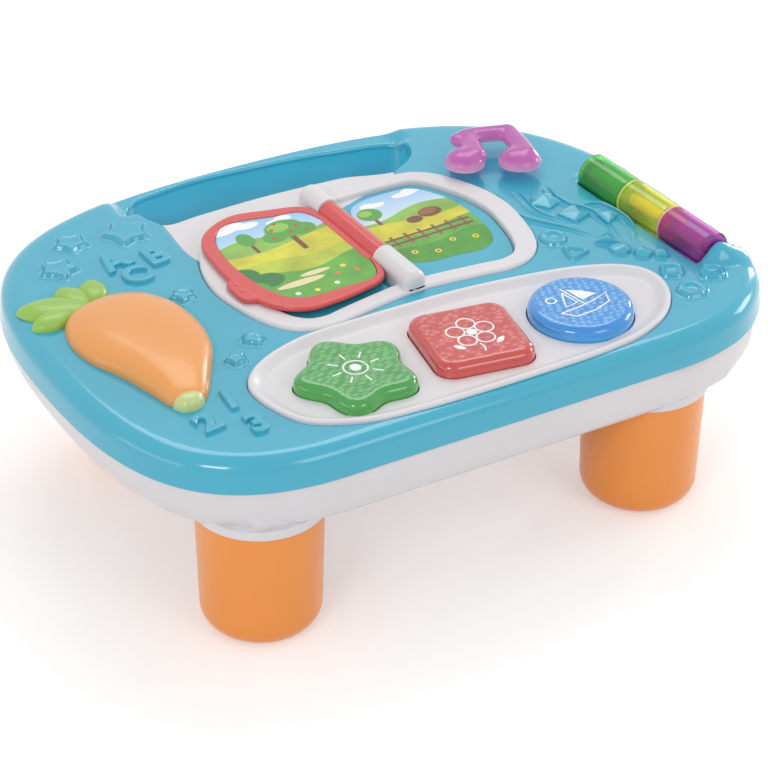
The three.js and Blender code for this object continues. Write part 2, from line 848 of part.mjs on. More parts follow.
const doorScrewX = bayX - bayLength / 2 - doorLip - doorTabReach + doorScrewInset;

// The battery door's outline as a box, or its recess when given a margin
function doorPlate(margin, low, high) {
  const left = bayX - bayLength / 2 - doorLip;
  const half = doorTabWidth / 2 + margin;
  const tab = box(left - doorTabReach - margin, bayY - half, low, left + doorLip, bayY + half, high);
  return joined(batteryBox(doorLip + margin, low, high), tab);
}

function batteryDoor() {
  const hole = screwRadius + gap;
  const plate = doorPlate(-gap, housingBottom, housingBottom + doorThickness);
  const seat = housingBottom + doorSeat;
  return cutBy(
    plate,
    post(doorScrewX, bayY, hole, housingBottom - overrun, seat + overrun, 6),
    post(doorScrewX, bayY, screwHeadRadius + gap, housingBottom - overrun, seat, 10),
  );
}

function speakerGrille() {
  const slots = [];
  for (let i = 0; i < grilleSlotCount; i += 1) {
    const offset = (i - (grilleSlotCount - 1) / 2) * grilleSlotStep;
    const half = Math.sqrt((speakerRadius - bayWall) ** 2 - offset ** 2) - grilleSlotWidth;
    slots.push(box(speakerX - half, speakerY + offset - grilleSlotWidth / 2,
      housingBottom - overrun, speakerX + half, speakerY + offset + grilleSlotWidth / 2,
      housingBottom + floorWall + overrun));
  }
  return slots;
}

function batteryBox(margin, low, high) {
  return box(bayX - bayLength / 2 - margin, bayY - bayWidth / 2 - margin, low,
    bayX + bayLength / 2 + margin, bayY + bayWidth / 2 + margin, high);
}

function bottomHousing() {
  const outer = walled(outline, levelsOf(housingShares, housingBottom, borderHeight - gap,
    housingFootSide, housingFootFront));
  const hollow = walled(outline, levelsOf(hollowShares, floorTop, borderHeight + overrun,
    hollowFootSide, hollowFootFront));
  const socketTop = collarBottom + legNeckLength + gap + floorWall;
  const collars = legPlaces.map(([, x, y]) =>
    walled(placed(circleOutline(collarRadius, roundSides), x, y), [
      [collarBottom, collarDraft], [housingBottom + floorWall + markSink, 0],
    ]),
  );
  const sockets = legPlaces.map(([, x, y]) => post(x, y, legNeckRadius + gap + floorWall,
    housingBottom + markSink, socketTop, 12));
  const bores = legPlaces.map(([, x, y]) => post(x, y, legNeckRadius + gap,
    collarBottom - overrun, collarBottom + legNeckLength + gap, roundSides));
  const bayTop = housingBottom + bayHeight;
  const body = joined(
    cutBy(outer, hollow),
    ...collars,
    ...sockets,
    batteryBox(bayWall, housingBottom + markSink, bayTop + bayWall),
    doorPlate(bayWall, housingBottom + markSink, housingBottom + doorThickness + gap + bayWall),
    cutBy(
      slab(inset(slotOutline, -shellWall - gap - floorWall), housingBottom + markSink,
        slotWallBottom - gap + overrun),
      slab(inset(slotOutline, -shellWall - gap), slotWallBottom - gap, borderHeight),
    ),
    ...screwPlaces.map(([x, y]) => post(x, y, bossRadius, housingBottom + markSink, bossSplit, 8)),
    cutBy(
      post(speakerX, speakerY, speakerRadius + gap + bayWall, floorTop - markSink,
        floorTop + speakerHeight / 2, 16),
      post(speakerX, speakerY, speakerRadius + gap, floorTop, floorTop + speakerHeight, 16),
    ),
    ...boardPosts(floorTop - markSink),
    post(doorScrewX, bayY, bossRadius, housingBottom + doorThickness + gap, housingBottom + doorBossHeight, 10),
  );
  const doorTop = housingBottom + doorThickness + gap;
  return cutBy(
    body,
    ...bores,
    slab(slotOutline, housingBottom - overrun, borderHeight),
    batteryBox(0, housingBottom - overrun, bayTop),
    doorPlate(0, housingBottom - overrun, doorTop),
    post(doorScrewX, bayY, screwRadius + gap, housingBottom, housingBottom + doorBossHeight + overrun, 6),
    ...speakerGrille(),
    box(switchX - switchLength / 2, switchY - switchWidth / 2, housingBottom - overrun,
      switchX + switchLength / 2, switchY + switchWidth / 2, floorTop + overrun),
    ...screwPlaces.flatMap(([x, y]) => [
      post(x, y, screwHeadRadius + gap, housingBottom - overrun, housingBottom + screwRecess + gap, 10),
      post(x, y, screwRadius + gap, housingBottom, bossSplit + overrun, 6),
    ]),
  );
}

// Posts under the circuit boards
function boardPosts(low) {
  const places = [
    [boardLeft + postRadius, boardFront + postRadius], [boardRight - postRadius, boardFront + postRadius],
    [boardLeft + postRadius, boardBack - postRadius], [boardRight - postRadius, boardBack - postRadius],
  ];
  const notePlaces = inNote([
    new THREE.Vector2(-noteBoardHalf + postRadius, 0), new THREE.Vector2(noteBoardHalf - postRadius, 0),
  ]).map((p) => [p.x, p.y]);
  return [...places, ...notePlaces].map(([x, y]) =>
    post(x, y, postRadius, low, boardHeight - gap, 6));
}

function leg() {
  const top = collarBottom - gap;
  const neckTop = collarBottom + legNeckLength;
  const round = (angle) => [
    legFootRadius - legFootRound + legFootRound * Math.sin(angle),
    legFootRound - legFootRound * Math.cos(angle),
  ];
  const quarter = Math.PI / 2;
  return turned([
    [0, 0], round(0), round(quarter / 3), round((2 * quarter) / 3), round(quarter),
    [legRadius, top], [legNeckRadius, top], [legNeckRadius, neckTop],
    [legNeckRadius - legWall, neckTop], [legFootRadius - 2 * legWall, legFootRound],
    [legFootRadius - legFootRound, legWall], [0, legWall],
  ], roundSides);
}

function bookFrame() {
  const rim = walled(frameOutline, [
    [frameBottom, 0], [frameTop - frameRound, 0], [frameTop - frameRound / 3, frameRound / 3],
    [frameTop, frameRound],
  ]);
  const ledge = slab(ledgeOutline, frameBottom, ledgeTop);
  const funnel = walled(wellOutline, [
    [frameBottom - overrun, 0], [frameTop - frameRound, 0], [frameTop + overrun, -overrun],
  ]);
  const under = slab(inset(wellOutline, -baseMargin - gap), frameBottom - overrun,
    frameBottom + basePlateThickness + gap);
  const rearCap = capSolid(rearCapLength, gap);
  const frontCap = capSolid(frontCapLength, gap);
  return cutBy(
    joined(rim, ledge),
    moved(slab(slotOutline, frameBottom - overrun, frameTop + overrun), ...tableInBook),
    funnel,
    under,
    rearCap.translate([0, rearCapPlace, 0]),
    frontCap.translate([0, frontCapPlace, 0]),
  );
}

const capBase = frameBottom + basePlateThickness + gap;
const rearCapPlace = barrelLength / 2 + gap + rearCapLength / 2;
const frontCapPlace = -barrelLength / 2 - gap - frontCapLength / 2;

// A round-topped saddle along Y, centred on its length
function capSolid(length, margin) {
  const radius = capHalfWidth + margin;
  const section = new THREE.Shape();
  section.moveTo(-radius, capBase - spineHeight - margin);
  section.lineTo(radius, capBase - spineHeight - margin);
  section.absarc(0, 0, radius, 0, Math.PI, false);
  section.lineTo(-radius, capBase - spineHeight - margin);
  const geometry = new THREE.ExtrudeGeometry(section, {
    depth: length + 2 * margin,
    steps: 1,
    curveSegments: 12,
    bevelEnabled: false,
  });
  geometry.rotateX(Math.PI / 2);
  geometry.translate(0, length / 2 + margin, spineHeight);
  return solidOf(geometry);
}

function spineCap(length, place) {
  const body = capSolid(length, 0).translate([0, place, 0]);
  const pinEnd = barrelLength / 2 + pinOverhang + gap;
  return cutBy(body, barAlong(0, 0, spineHeight, pinRadius + gap, 2 * pinEnd, 12));
}

function bookBase() {
  const plateTop = frameBottom + basePlateThickness;
  const plate = slab(inset(wellOutline, -baseMargin), frameBottom, plateTop);
  const pads = slab(inset(wellOutline, padInset), plateTop - markSink, plateTop + padHeight);
  const valley = box(-spineValley, -frameDepth, plateTop, spineValley, frameDepth,
    plateTop + padHeight + overrun);
  const cards = [-1, 1].map((side) => slab(cardOutline(side, gap),
    plateTop + padHeight - cardThickness, plateTop + padHeight + overrun));
  return cutBy(joined(plate, cutBy(pads, valley)), ...cards);
}

// The printed card in one well
function cardOutline(side, margin) {
  const loop = smoothOutline(wellCardShares.map(inFrame), 18);
  const turnedOver = side > 0 ? loop : loop.map((p) => new THREE.Vector2(-p.x, p.y)).reverse();
  return inset(turnedOver, -margin);
}

function wellCard(side) {
  const top = frameBottom + basePlateThickness + padHeight;
  return slab(cardOutline(side, 0), top - cardThickness + gap / 2, top);
}

function pageFrame() {
  const low = spineHeight - pageThickness / 2;
  const high = spineHeight + pageThickness / 2;
  const tabMiddle = -pageInner - pageWidth;
  const tab = [
    [tabMiddle - tabReach, tabCentre - tabWidth / 3], [tabMiddle + tabReach, tabCentre - tabWidth / 2],
    [tabMiddle + tabReach, tabCentre + tabWidth / 2], [tabMiddle - tabReach, tabCentre + tabWidth / 3],
  ].map(([x, y]) => new THREE.Vector2(x, y));
  const arm = box(-pageInner - tabReach, -barrelLength / 2, low, 0, barrelLength / 2, high);
  return cutBy(
    joined(
      slab(pageOutline, low, high),
      slab(tab, low, high),
      arm,
      barAlong(0, 0, spineHeight, barrelRadius, barrelLength, 24),
    ),
    slab(windowOutline, low - overrun, high + overrun),
    capSolid(rearCapLength, 2 * gap).translate([0, rearCapPlace + gap, 0]),
    capSolid(frontCapLength, 2 * gap).translate([0, frontCapPlace - gap, 0]),
    barAlong(0, 0, spineHeight, pinRadius + gap, barrelLength + overrun, 12),
  );
}

function pageCard() {
  const half = pageThickness / 2 - markSink;
  return slab(inset(windowOutline, gap), spineHeight - half, spineHeight + half);
}

function hingePin() {
  return barAlong(0, 0, spineHeight, pinRadius, barrelLength + 2 * pinOverhang, 12);
}

function buttonTray() {
  const body = walled(trayOutline, [
    [trayBottom, 0], [trayLip - trayEdgeRise, 0], [trayLip - gap, gap], [trayLip, trayEdgeRound],
  ]);
  const dish = walled(trayOutline, [
    [trayFloorTop, dishFloorRun], [trayFloorTop + dishCoveRise, dishCoveRun], [trayLip - gap, trayLipWidth],
    [trayLip + overrun, dishMouthRun],
  ]);
  const under = slab(inset(trayOutline, trayUnderInset), trayBottom - overrun,
    trayFloorTop - trayFloorWall);
  const holes = buttons.map((b) => slab(placed(inset(b.outline, -buttonClearance), b.x, b.y, b.turn),
    trayBottom, trayLip + overrun));
  return cutBy(body, dish, under, ...holes);
}

function pushButton(shape) {
  const flangeTop = trayFloorTop - trayFloorWall - flangeDrop;
  const cap = walled(shape, [
    [buttonBottom, 0], [buttonTop - buttonRound, 0],
    [buttonTop - buttonRound / 3, buttonRound / 3], [buttonTop, buttonRound],
  ]);
  const flange = slab(inset(shape, -flangeWidth), flangeTop - flangeThickness, flangeTop);
  const hollow = slab(inset(shape, buttonWall), buttonBottom - overrun, buttonTop - buttonWall);
  const plunger = post(0, 0, plungerRadius, plungerBottom, buttonTop - buttonWall + markSink, 12);
  return joined(cutBy(joined(cap, flange), hollow), plunger);
}

// A rubber dome with a hollow below, between a board and the plunger that presses it
function rubberPad(height) {
  return turned([
    [0, height - padWall], [padRadius - 2 * padWall, height - padWall], [padRadius - padWall, 0],
    [padRadius, 0], [padRadius - padWall, height], [0, height],
  ], 8);
}

function noteKey() {
  const low = islandTop + noteGap;
  const floor = box(-islandWidth, -islandDepth, low, islandWidth, islandDepth,
    low + noteHeadHeight + overrun);
  const heads = [-1, 1].map((side) => {
    const ball = new THREE.SphereGeometry(1, 12, 8);
    ball.rotateX(Math.PI / 2);
    ball.scale(noteHeadRadius, noteHeadRadius * noteHeadDepthShare, noteHeadHeight);
    ball.translate(side * noteHeadSpread, 0, low - markSink);
    return solidOf(ball).intersect(floor);
  });
  const barZ = low + noteBarLift;
  const stemX = noteHeadRadius - noteBarRadius * noteStemInsetShare;
  const corner = [
    [-noteHeadSpread + stemX, 0], [-noteHeadSpread + stemX, noteStemReach],
    [noteHeadSpread + stemX, noteStemReach + noteBarRadius], [noteHeadSpread + stemX, 0],
  ].map(([x, y]) => new THREE.Vector3(x, y, barZ));
  const bar = (from, to) => {
    const line = new THREE.LineCurve3(from, to);
    const section = new THREE.Shape(circleOutline(noteBarRadius, 8));
    return solidOf(new THREE.ExtrudeGeometry(section, {
      steps: 1, bevelEnabled: false, extrudePath: line,
    }));
  };
  const ball = (p, radius) => {
    const knob = new THREE.SphereGeometry(radius, 8, 6);
    knob.translate(p.x, p.y, p.z);
    return solidOf(knob);
  };
  const flag = new THREE.Vector3(-noteHeadSpread + stemX - noteBarRadius * noteFlagShare,
    noteStemReach - noteFlagDrop, barZ);
  const bars = joined(
    bar(corner[0], corner[1]), bar(corner[1], corner[2]), bar(corner[3], corner[2]),
    bar(corner[1], flag),
    ball(corner[1], noteBarRadius), ball(corner[2], noteBarRadius), ball(flag, noteBarRadius),
  ).intersect(floor);
  const pegs = [-noteHeadSpread, noteHeadSpread].map((x) =>
    post(x, 0, notePegRadius, notePegBottom, low + overrun, 8));
  return joined(...heads, bars, ...pegs);
}

// One coloured drum of the roller, hollow, with a bore for the axle
function rollerDrum(length) {
  const half = length / 2;
  const outer = rollerRadius;
  const inner = rollerRadius - rollerWall;
  const bore = axleRadius + axleClearance;
  return solidOf(new THREE.LatheGeometry([
    [bore, -half], [outer - drumRim, -half], [outer, -half + drumRim], [outer, half - drumRim],
    [outer - drumRim, half], [inner - drumRim, half], [inner - drumRim, -half + rollerWall],
    [bore, -half + rollerWall], [bore, -half],
  ].map(([r, y]) => new THREE.Vector2(r, y)), 16));
}

function rollerEndDisc() {
  const bore = axleRadius + axleClearance;
  const reach = rollerRadius - rollerWall - drumRim - gap;
  const disc = new THREE.LatheGeometry([
    [bore, 0], [reach, 0], [reach, rollerWall],
    [bore, rollerWall], [bore, 0],
  ].map(([r, y]) => new THREE.Vector2(r, y)), 16);
  return solidOf(disc);
}

function carrotAxis(share) {
  const curve = new THREE.CatmullRomCurve3(
    carrotBendShares.map(([x, y]) => new THREE.Vector3(
      carrotTipX + x * carrotLength, carrotTipY + y * carrotLength, 0,
    )),
  );
  return { point: curve.getPointAt(share), along: curve.getTangentAt(share) };
}

// The carrot: half-round sections of changing width along a bent axis, flat below
function carrotBody(margin = 0) {
  const low = topHeight + gap - margin;
  const sides = 12;
  const rings = carrotShares.map(([share, width, height]) => {
    const { point, along } = carrotAxis(share);
    const across = new THREE.Vector3(-along.y, along.x, 0);
    return Array.from({ length: sides + 1 }, (_, i) => {
      const angle = (i / sides) * Math.PI;
      return point.clone()
        .addScaledVector(across, (carrotHalfWidth * width + margin) * Math.cos(angle))
        .setZ(low + (carrotHeight * height + 2 * margin) * Math.sin(angle));
    });
  });
  return solidOf(loftAlong(rings));
}

// Closed loft through rings that stand one behind the other, closed by fans at both ends
function loftAlong(rings) {
  const count = rings[0].length;
  const positions = [];
  const index = [];
  rings.forEach((ring) => ring.forEach((p) => positions.push(p.x, p.y, p.z)));
  for (let level = 0; level + 1 < rings.length; level += 1) {
    for (let i = 0; i < count; i += 1) {
      const a = level * count + i;
      const b = level * count + ((i + 1) % count);
      index.push(a, b, b + count, a, b + count, a + count);
    }
  }
  const last = (rings.length - 1) * count;
  for (let i = 1; i + 1 < count; i += 1) {
    index.push(0, i + 1, i);
    index.push(last, last + i, last + i + 1);
  }
  const geometry = new THREE.BufferGeometry();
  geometry.setAttribute("position", new THREE.Float32BufferAttribute(positions, 3));
  geometry.setIndex(index);
  return geometry;
}

function carrotLeaves() {
  const low = topHeight + gap;
  const keep = box(-tableLength, -tableDepth, low, tableLength, tableDepth, low + leafHeight + overrun);
  const leaves = leafShares.map(({ along, across, length, width, turn }) => {
    const leaf = new THREE.SphereGeometry(1, 10, 6);
    leaf.rotateX(Math.PI / 2);
    leaf.scale(carrotLength * length, carrotLength * width, leafHeight);
    leaf.rotateZ(turn);
    leaf.translate(
      carrotTipX + across * carrotLength, carrotTipY + along * carrotLength, low - markSink,
    );
    return solidOf(leaf).intersect(keep);
  });
  return cutBy(joined(...leaves), carrotBody(2 * gap));
}

function carrotTip() {
  const low = topHeight + gap;
  const keep = box(-tableLength, -tableDepth, low, tableLength, tableDepth, low + tipRadius + overrun);
  const ball = new THREE.SphereGeometry(tipRadius, 12, 8);
  const { point } = carrotAxis(0);
  ball.translate(point.x, point.y - tipForward, low - markSink);
  return cutBy(solidOf(ball).intersect(keep), carrotBody(2 * gap));
}

// The knob stands through its slot and is held by a flange above the floor
function switchKnob() {
  const middle = switchX - switchTravel / 2;
  const low = floorTop + gap;
  const wide = switchWidth / 2 + knobFlange;
  return joined(
    box(middle - knobLength / 2, switchY - switchWidth / 2 + gap, housingBottom - knobProud,
      middle + knobLength / 2, switchY + switchWidth / 2 - gap, low + knobFlangeThickness),
    box(middle - knobLength / 2 - knobFlange, switchY - wide, low, middle + knobLength / 2 + knobFlange,
      switchY + wide, low + knobFlangeThickness),
  );
}

function screw(length) {
  const head = screwHeadHeight;
  return turned([
    [0, head / 2], [screwHeadRadius / 3, head / 2], [screwHeadRadius / 3, 0], [screwHeadRadius, 0],
    [screwHeadRadius, head], [screwRadius, head], [screwRadius, head + length], [0, head + length],
  ], 6);
}

// The cone, the rim and the magnet, as shares of the radius and the height
const speakerShares = [
  [0, 0.17], [0.45, 0.21], [0.86, 0.07], [0.9, 0], [1, 0], [1, 0.21], [0.5, 0.46], [0.5, 1], [0, 1],
];

function speaker() {
  return turned(
    speakerShares.map(([across, rise]) => [speakerRadius * across, speakerHeight * rise]), roundSides,
  );
}

// Build the scene
addPart(table, "bottom_housing", bottomHousing(), finish(colours.white));
addPart(table, "top_shell", topShell(), finish(colours.blue));
legPlaces.forEach(([name, x, y]) => {
  addPart(table, name, leg(), finish(colours.orange)).position.set(x, y, 0);
});

const book = new THREE.Group();
book.position.set(bookX, bookY, 0);
book.rotation.z = bookTurn;
table.add(book);
addPart(book, "book_frame", bookFrame(), finish(colours.white));
addPart(book, "book_base", bookBase(), finish(colours.blue));
addPart(book, "left_picture_card", wellCard(-1), finish(colours.paper, 0.5));
addPart(book, "right_picture_card", wellCard(1), finish(colours.paper, 0.5));
addPart(book, "page_frame", pageFrame(), finish(colours.red));
addPart(book, "page_picture_card", pageCard(), finish(colours.paper, 0.5));
addPart(book, "hinge_pin", hingePin(), finish(colours.steel, 0.3, 1));
addPart(book, "rear_spine_cap", spineCap(rearCapLength, rearCapPlace), finish(colours.white));
addPart(book, "front_spine_cap", spineCap(frontCapLength, frontCapPlace), finish(colours.white));

addPart(table, "button_tray", buttonTray(), finish(colours.white));
buttons.forEach(({ name, outline: shape, x, y, turn, colour }) => {
  const mesh = addPart(table, name, pushButton(shape), finish(colour, 0.1));
  mesh.position.set(x, y, 0);
  mesh.rotation.z = turn;
});

const boardTop = boardHeight + boardThickness;
addPart(table, "button_circuit_board",
  box(boardLeft, boardFront, boardHeight, boardRight, boardBack, boardTop), finish(colours.board, 0.5));
buttons.forEach(({ name, x, y }) => {
  const label = name.split("_")[0];
  const height = plungerBottom - boardTop - 2 * gap;
  addPart(table, `${label}_rubber_pad`, rubberPad(height), finish(colours.rubber, 0.8))
    .position.set(x, y, boardTop + gap);
  addPart(table, `${label}_light`, post(0, 0, ledRadius, 0, ledHeight, 10), finish(colours.white, 0.1))
    .position.set(x + padRadius + 2 * ledRadius, y + padRadius, boardTop + gap);
});

const note = new THREE.Group();
note.position.set(noteX, noteY, 0);
note.rotation.z = noteTurn;
table.add(note);
addPart(note, "note_key", noteKey(), finish(colours.pink, 0.1));
addPart(note, "note_circuit_board",
  box(-noteBoardHalf, -noteBoardWidth, boardHeight, noteBoardHalf, noteBoardWidth, boardTop),
  finish(colours.board, 0.5));
[["note_left_rubber_pad", -noteHeadSpread], ["note_right_rubber_pad", noteHeadSpread]].forEach(
  ([name, x]) => {
    addPart(note, name, rubberPad(notePegBottom - boardTop - 2 * gap), finish(colours.rubber, 0.8))
      .position.set(x, 0, boardTop + gap);
  },
);

const roller = new THREE.Group();
roller.position.set(rollerX, rollerY, rollerHeight);
roller.rotation.z = rollerTurn;
table.add(roller);
addPart(roller, "roller_axle",
  barAlong(0, 0, 0, axleRadius, rollerLength + 2 * axleOverhang, 12), finish(colours.steel, 0.3, 1));
const drumLength = (rollerLength - (rollerSegments - 1) * segmentGap) / rollerSegments;
const drums = [
  ["roller_drum_purple", colours.purple], ["roller_drum_yellow", colours.yellow],
  ["roller_drum_green", colours.green],
];
drums.forEach(([name, colour], i) => {
  const middle = (i - (rollerSegments - 1) / 2) * (drumLength + segmentGap);
  addPart(roller, name, rollerDrum(drumLength), finish(colour, 0.1)).position.y = middle;
});
addPart(roller, "roller_end_disc", rollerEndDisc(), finish(colours.green, 0.1)).position.y =
  rollerLength / 2 - rollerWall;

addPart(table, "carrot_body", carrotBody(), finish(colours.orange));
addPart(table, "carrot_leaves", carrotLeaves(), finish(colours.lightGreen));
addPart(table, "carrot_tip", carrotTip(), finish(colours.lightGreen));

addPart(table, "speaker", speaker(), finish(colours.dark, 0.6))
  .position.set(speakerX, speakerY, floorTop + gap);
addPart(table, "battery_door", batteryDoor(), finish(colours.white));
for (let i = 0; i < cellCount; i += 1) {
  const y = bayY + (i - (cellCount - 1) / 2) * (2 * cellRadius + gap);
  const cell = new THREE.CylinderGeometry(cellRadius, cellRadius, cellLength, 14);
  cell.rotateZ(Math.PI / 2);
  addPart(table, `battery_${i + 1}`, solidOf(cell), finish(colours.dark, 0.4))
    .position.set(bayX, y, housingBottom + doorThickness + gap + cellRadius);
}
const contactBottom = housingBottom + doorThickness + 2 * gap;
[["left_battery_contact", -1], ["right_battery_contact", 1]].forEach(([name, side]) => {
  const inner = bayX + side * (cellLength / 2 + gap);
  const outer = bayX + side * (bayLength / 2 - gap);
  addPart(table, name, box(Math.min(inner, outer), bayY - bayWidth / 2 + gap, contactBottom,
    Math.max(inner, outer), bayY + bayWidth / 2 - gap, contactBottom + cellRadius * 2),
    finish(colours.steel, 0.3, 1));
});
addPart(table, "power_switch_knob", switchKnob(), finish(colours.orange));
screwPlaces.forEach(([x, y], i) => {
  addPart(table, `housing_screw_${i + 1}`, screw(screwLength), finish(colours.steel, 0.3, 1))
    .position.set(x, y, screwHeadLow);
});
addPart(table, "battery_door_screw", screw(doorScrewLength), finish(colours.steel, 0.3, 1))
  .position.set(doorScrewX, bayY, housingBottom + doorSeat - gap - screwHeadHeight);

export default table;
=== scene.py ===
import math

import bmesh
import bpy
from mathutils import Matrix, Vector


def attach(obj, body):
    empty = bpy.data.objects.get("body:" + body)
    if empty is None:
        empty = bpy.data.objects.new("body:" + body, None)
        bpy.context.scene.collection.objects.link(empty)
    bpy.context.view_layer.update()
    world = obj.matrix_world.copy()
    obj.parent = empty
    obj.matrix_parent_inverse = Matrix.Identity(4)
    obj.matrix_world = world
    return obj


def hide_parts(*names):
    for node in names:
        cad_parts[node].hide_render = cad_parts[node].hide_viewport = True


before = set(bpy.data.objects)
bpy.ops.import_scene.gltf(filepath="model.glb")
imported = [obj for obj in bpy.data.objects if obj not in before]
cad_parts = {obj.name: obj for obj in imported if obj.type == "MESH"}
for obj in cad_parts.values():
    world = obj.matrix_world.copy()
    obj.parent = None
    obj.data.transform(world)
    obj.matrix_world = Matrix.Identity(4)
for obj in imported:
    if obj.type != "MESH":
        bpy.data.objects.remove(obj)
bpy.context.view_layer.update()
mm = 0.001
print("frame loaded")


cameraPlace = {
    "location": (-740.9, -1295.2, 1030.0),
    "right": (0.866927, -0.498368, 0.008129),
    "up": (0.268286, 0.480313, 0.835058),
    "forward": (0.420071, 0.721754, -0.550102),
    "lens": 136.54,
}


def placeCamera():
    bpy.ops.object.camera_add()
    camera = bpy.context.object
    right, up, forward = (Vector(cameraPlace[key]) for key in ("right", "up", "forward"))
    turn = Matrix((right, up, -forward)).transposed().to_4x4()
    camera.matrix_world = Matrix.Translation(Vector(cameraPlace["location"]) * mm) @ turn
    camera.data.lens = cameraPlace["lens"]
    camera.data.clip_start = 0.05
    camera.data.clip_end = 50
    bpy.context.scene.camera = camera


placeCamera()
bpy.context.scene.view_settings.view_transform = "Standard"


# A socket that adds its Math nodes as an expression is written
class Signal:
    def __init__(self, finish, link):
        self.finish = finish
        self.link = link

    def maths(self, operation, other, swapped=False):
        pair = (other, self) if swapped else (self, other)
        return self.finish.node("ShaderNodeMath", {"operation": operation}, {0: pair[0], 1: pair[1]})

    def __add__(self, other):
        return self.maths("ADD", other)

    def __radd__(self, other):
        return self.maths("ADD", other, True)

    def __sub__(self, other):
        return self.maths("SUBTRACT", other)

    def __rsub__(self, other):
        return self.maths("SUBTRACT", other, True)

    def __mul__(self, other):
        return self.maths("MULTIPLY", other)

    def __rmul__(self, other):
        return self.maths("MULTIPLY", other, True)

    def __truediv__(self, other):
        return self.maths("DIVIDE", other)


# A set of nodes under construction, of a material or of the world
class Finish:
    def __init__(self, name, world=None):
        self.material = world or bpy.data.materials.new(name)
        self.material.use_nodes = True
        self.tree = self.material.node_tree
        self.shader = self.tree.nodes.get("Principled BSDF")

    def node(self, kind, settings=None, inputs=None, output=0):
        made = self.tree.nodes.new(kind)
        for key, value in (settings or {}).items():
            if key == "stops":
                ramp = made.color_ramp
                while len(ramp.elements) < len(value):
                    ramp.elements.new(0.5)
                for element, (place, colour) in zip(ramp.elements, value):
                    element.position = place
                    element.color = (*colour, 1)
            else:
                setattr(made, key, value)
        for key, value in (inputs or {}).items():
            if isinstance(value, Signal):
                self.tree.links.new(value.link, made.inputs[key])
            else:
                made.inputs[key].default_value = value
        return Signal(self, made.outputs[output]) if made.outputs else None

    def feed(self, **values):
        for key, value in values.items():
            socket = self.shader.inputs[socketNames[key]]
            if isinstance(value, Signal):
                self.tree.links.new(value.link, socket)
            else:
                socket.default_value = value

    def place(self):
        return self.node("ShaderNodeTexCoord", output="Object")

    def noise(self, scale, detail=2, where=None):
        return self.node("ShaderNodeTexNoise", {}, {
            "Vector": where or self.place(), "Scale": scale, "Detail": detail, "Roughness": 0.5})

    def blend(self, factor, first, second):
        return self.node("ShaderNodeMix", {"data_type": "RGBA"}, {
            "Factor": factor, 6: first, 7: second}, output=2)

    def step(self, value, off, on):
        return self.node("ShaderNodeMapRange", {}, {"Value": value, 1: off, 2: on, 3: 0.0, 4: 1.0})

    def parts(self, vector):
        x = self.node("ShaderNodeSeparateXYZ", {}, {0: vector})
        return [Signal(self, socket) for socket in x.link.node.outputs]

    # 1 where the camera looks straight at it, or sees it in a gloss or through glass
    def lookedAt(self):
        rays = self.node("ShaderNodeLightPath").link.node.outputs
        camera, gloss, glass = (
            Signal(self, rays["Is %s Ray" % kind]) for kind in ("Camera", "Glossy", "Transmission"))
        return camera.maths("MAXIMUM", gloss).maths("MAXIMUM", glass)

    # 1 inside an oval, 0 outside
    def spot(self, x, y, centre, reach, soft=0.1):
        across, up = (x - centre[0]) / reach[0], (y - centre[1]) / reach[1]
        return self.step(across * across + up * up, 1 + soft, 1 - soft)

    # 1 inside an upright box, 0 outside
    def bar(self, x, y, centre, reach, soft=0.3):
        across, up = (x - centre[0]).maths("ABSOLUTE", 0), (y - centre[1]).maths("ABSOLUTE", 0)
        return self.step(across - reach[0], soft, -soft) * self.step(up - reach[1], soft, -soft)

    def bump(self, height, strength, distance):
        return self.node("ShaderNodeBump", {}, {
            "Height": height, "Strength": strength, "Distance": distance})


socketNames = {
    "colour": "Base Color", "roughness": "Roughness", "normal": "Normal", "metal": "Metallic",
    "coat": "Coat Weight", "coatRoughness": "Coat Roughness", "glass": "Transmission Weight",
    "ior": "IOR", "skin": "Subsurface Weight", "skinRadius": "Subsurface Radius",
    "skinScale": "Subsurface Scale", "specular": "Specular IOR Level",
    "glow": "Emission Color", "glowStrength": "Emission Strength",
}


# Written as on a paint chart, 0 to 255
def paint(red, green, blue):
    def linear(value):
        value /= 255
        return value / 12.92 if value <= 0.04045 else ((value + 0.055) / 1.055) ** 2.4
    return (linear(red), linear(green), linear(blue))


def colour4(rgb):
    return (*paint(*rgb), 1)


# Moulded plastic: slight unevenness of colour, gloss and surface
def mouldedPlastic(name, rgb, shade, roughness=0.22, coat=0.25, skin=0.0, ripple=0.02):
    finish = Finish(name)
    cloud = finish.noise(14, 3)
    grain = finish.noise(900, 2)
    finish.feed(
        colour=finish.blend(cloud, colour4(rgb), colour4(shade)),
        roughness=roughness - 0.03 + cloud * 0.04 + grain * 0.05,
        normal=finish.bump(grain, ripple, 0.0004),
        coat=coat, coatRoughness=0.06, skin=skin, skinRadius=(0.004, 0.003, 0.002), skinScale=1.0)
    return finish.material


# Each lamp has its place, what it points at, its size and its power
studio = {
    "ambient": 0.6, "white": 1, "floorSize": 16, "floorColour": (0.86, 0.86, 0.86, 1),
    "floorGlow": (0.3, 0.3, 0.3, 1),
    "lamps": [
        ("overheadLamp", (0.5, 0.9, 1.7), (0, 0, 0.1), (1.4, 0.9), 9),
        ("leftLamp", (-1.5, -1.2, 1.35), (0, 0, 0.1), (0.7, 0.34), 7.5),
        ("frontLamp", (0.5, -1.9, 1.2), (0, 0, 0.1), (0.9, 0.7), 5),
        ("rightLamp", (1.7, 0.75, 0.45), (0, 0, 0.12), (0.28, 0.6), 4.5),
        ("sideLamp", (-2.2, 0.1, 0.55), (0, 0, 0.1), (1.6, 0.6), 3.8),
        ("cornerLamp", (1.75, -0.18, 0.62), (0, 0, 0.12), (0.62, 0.5), 4.5),
    ],
}


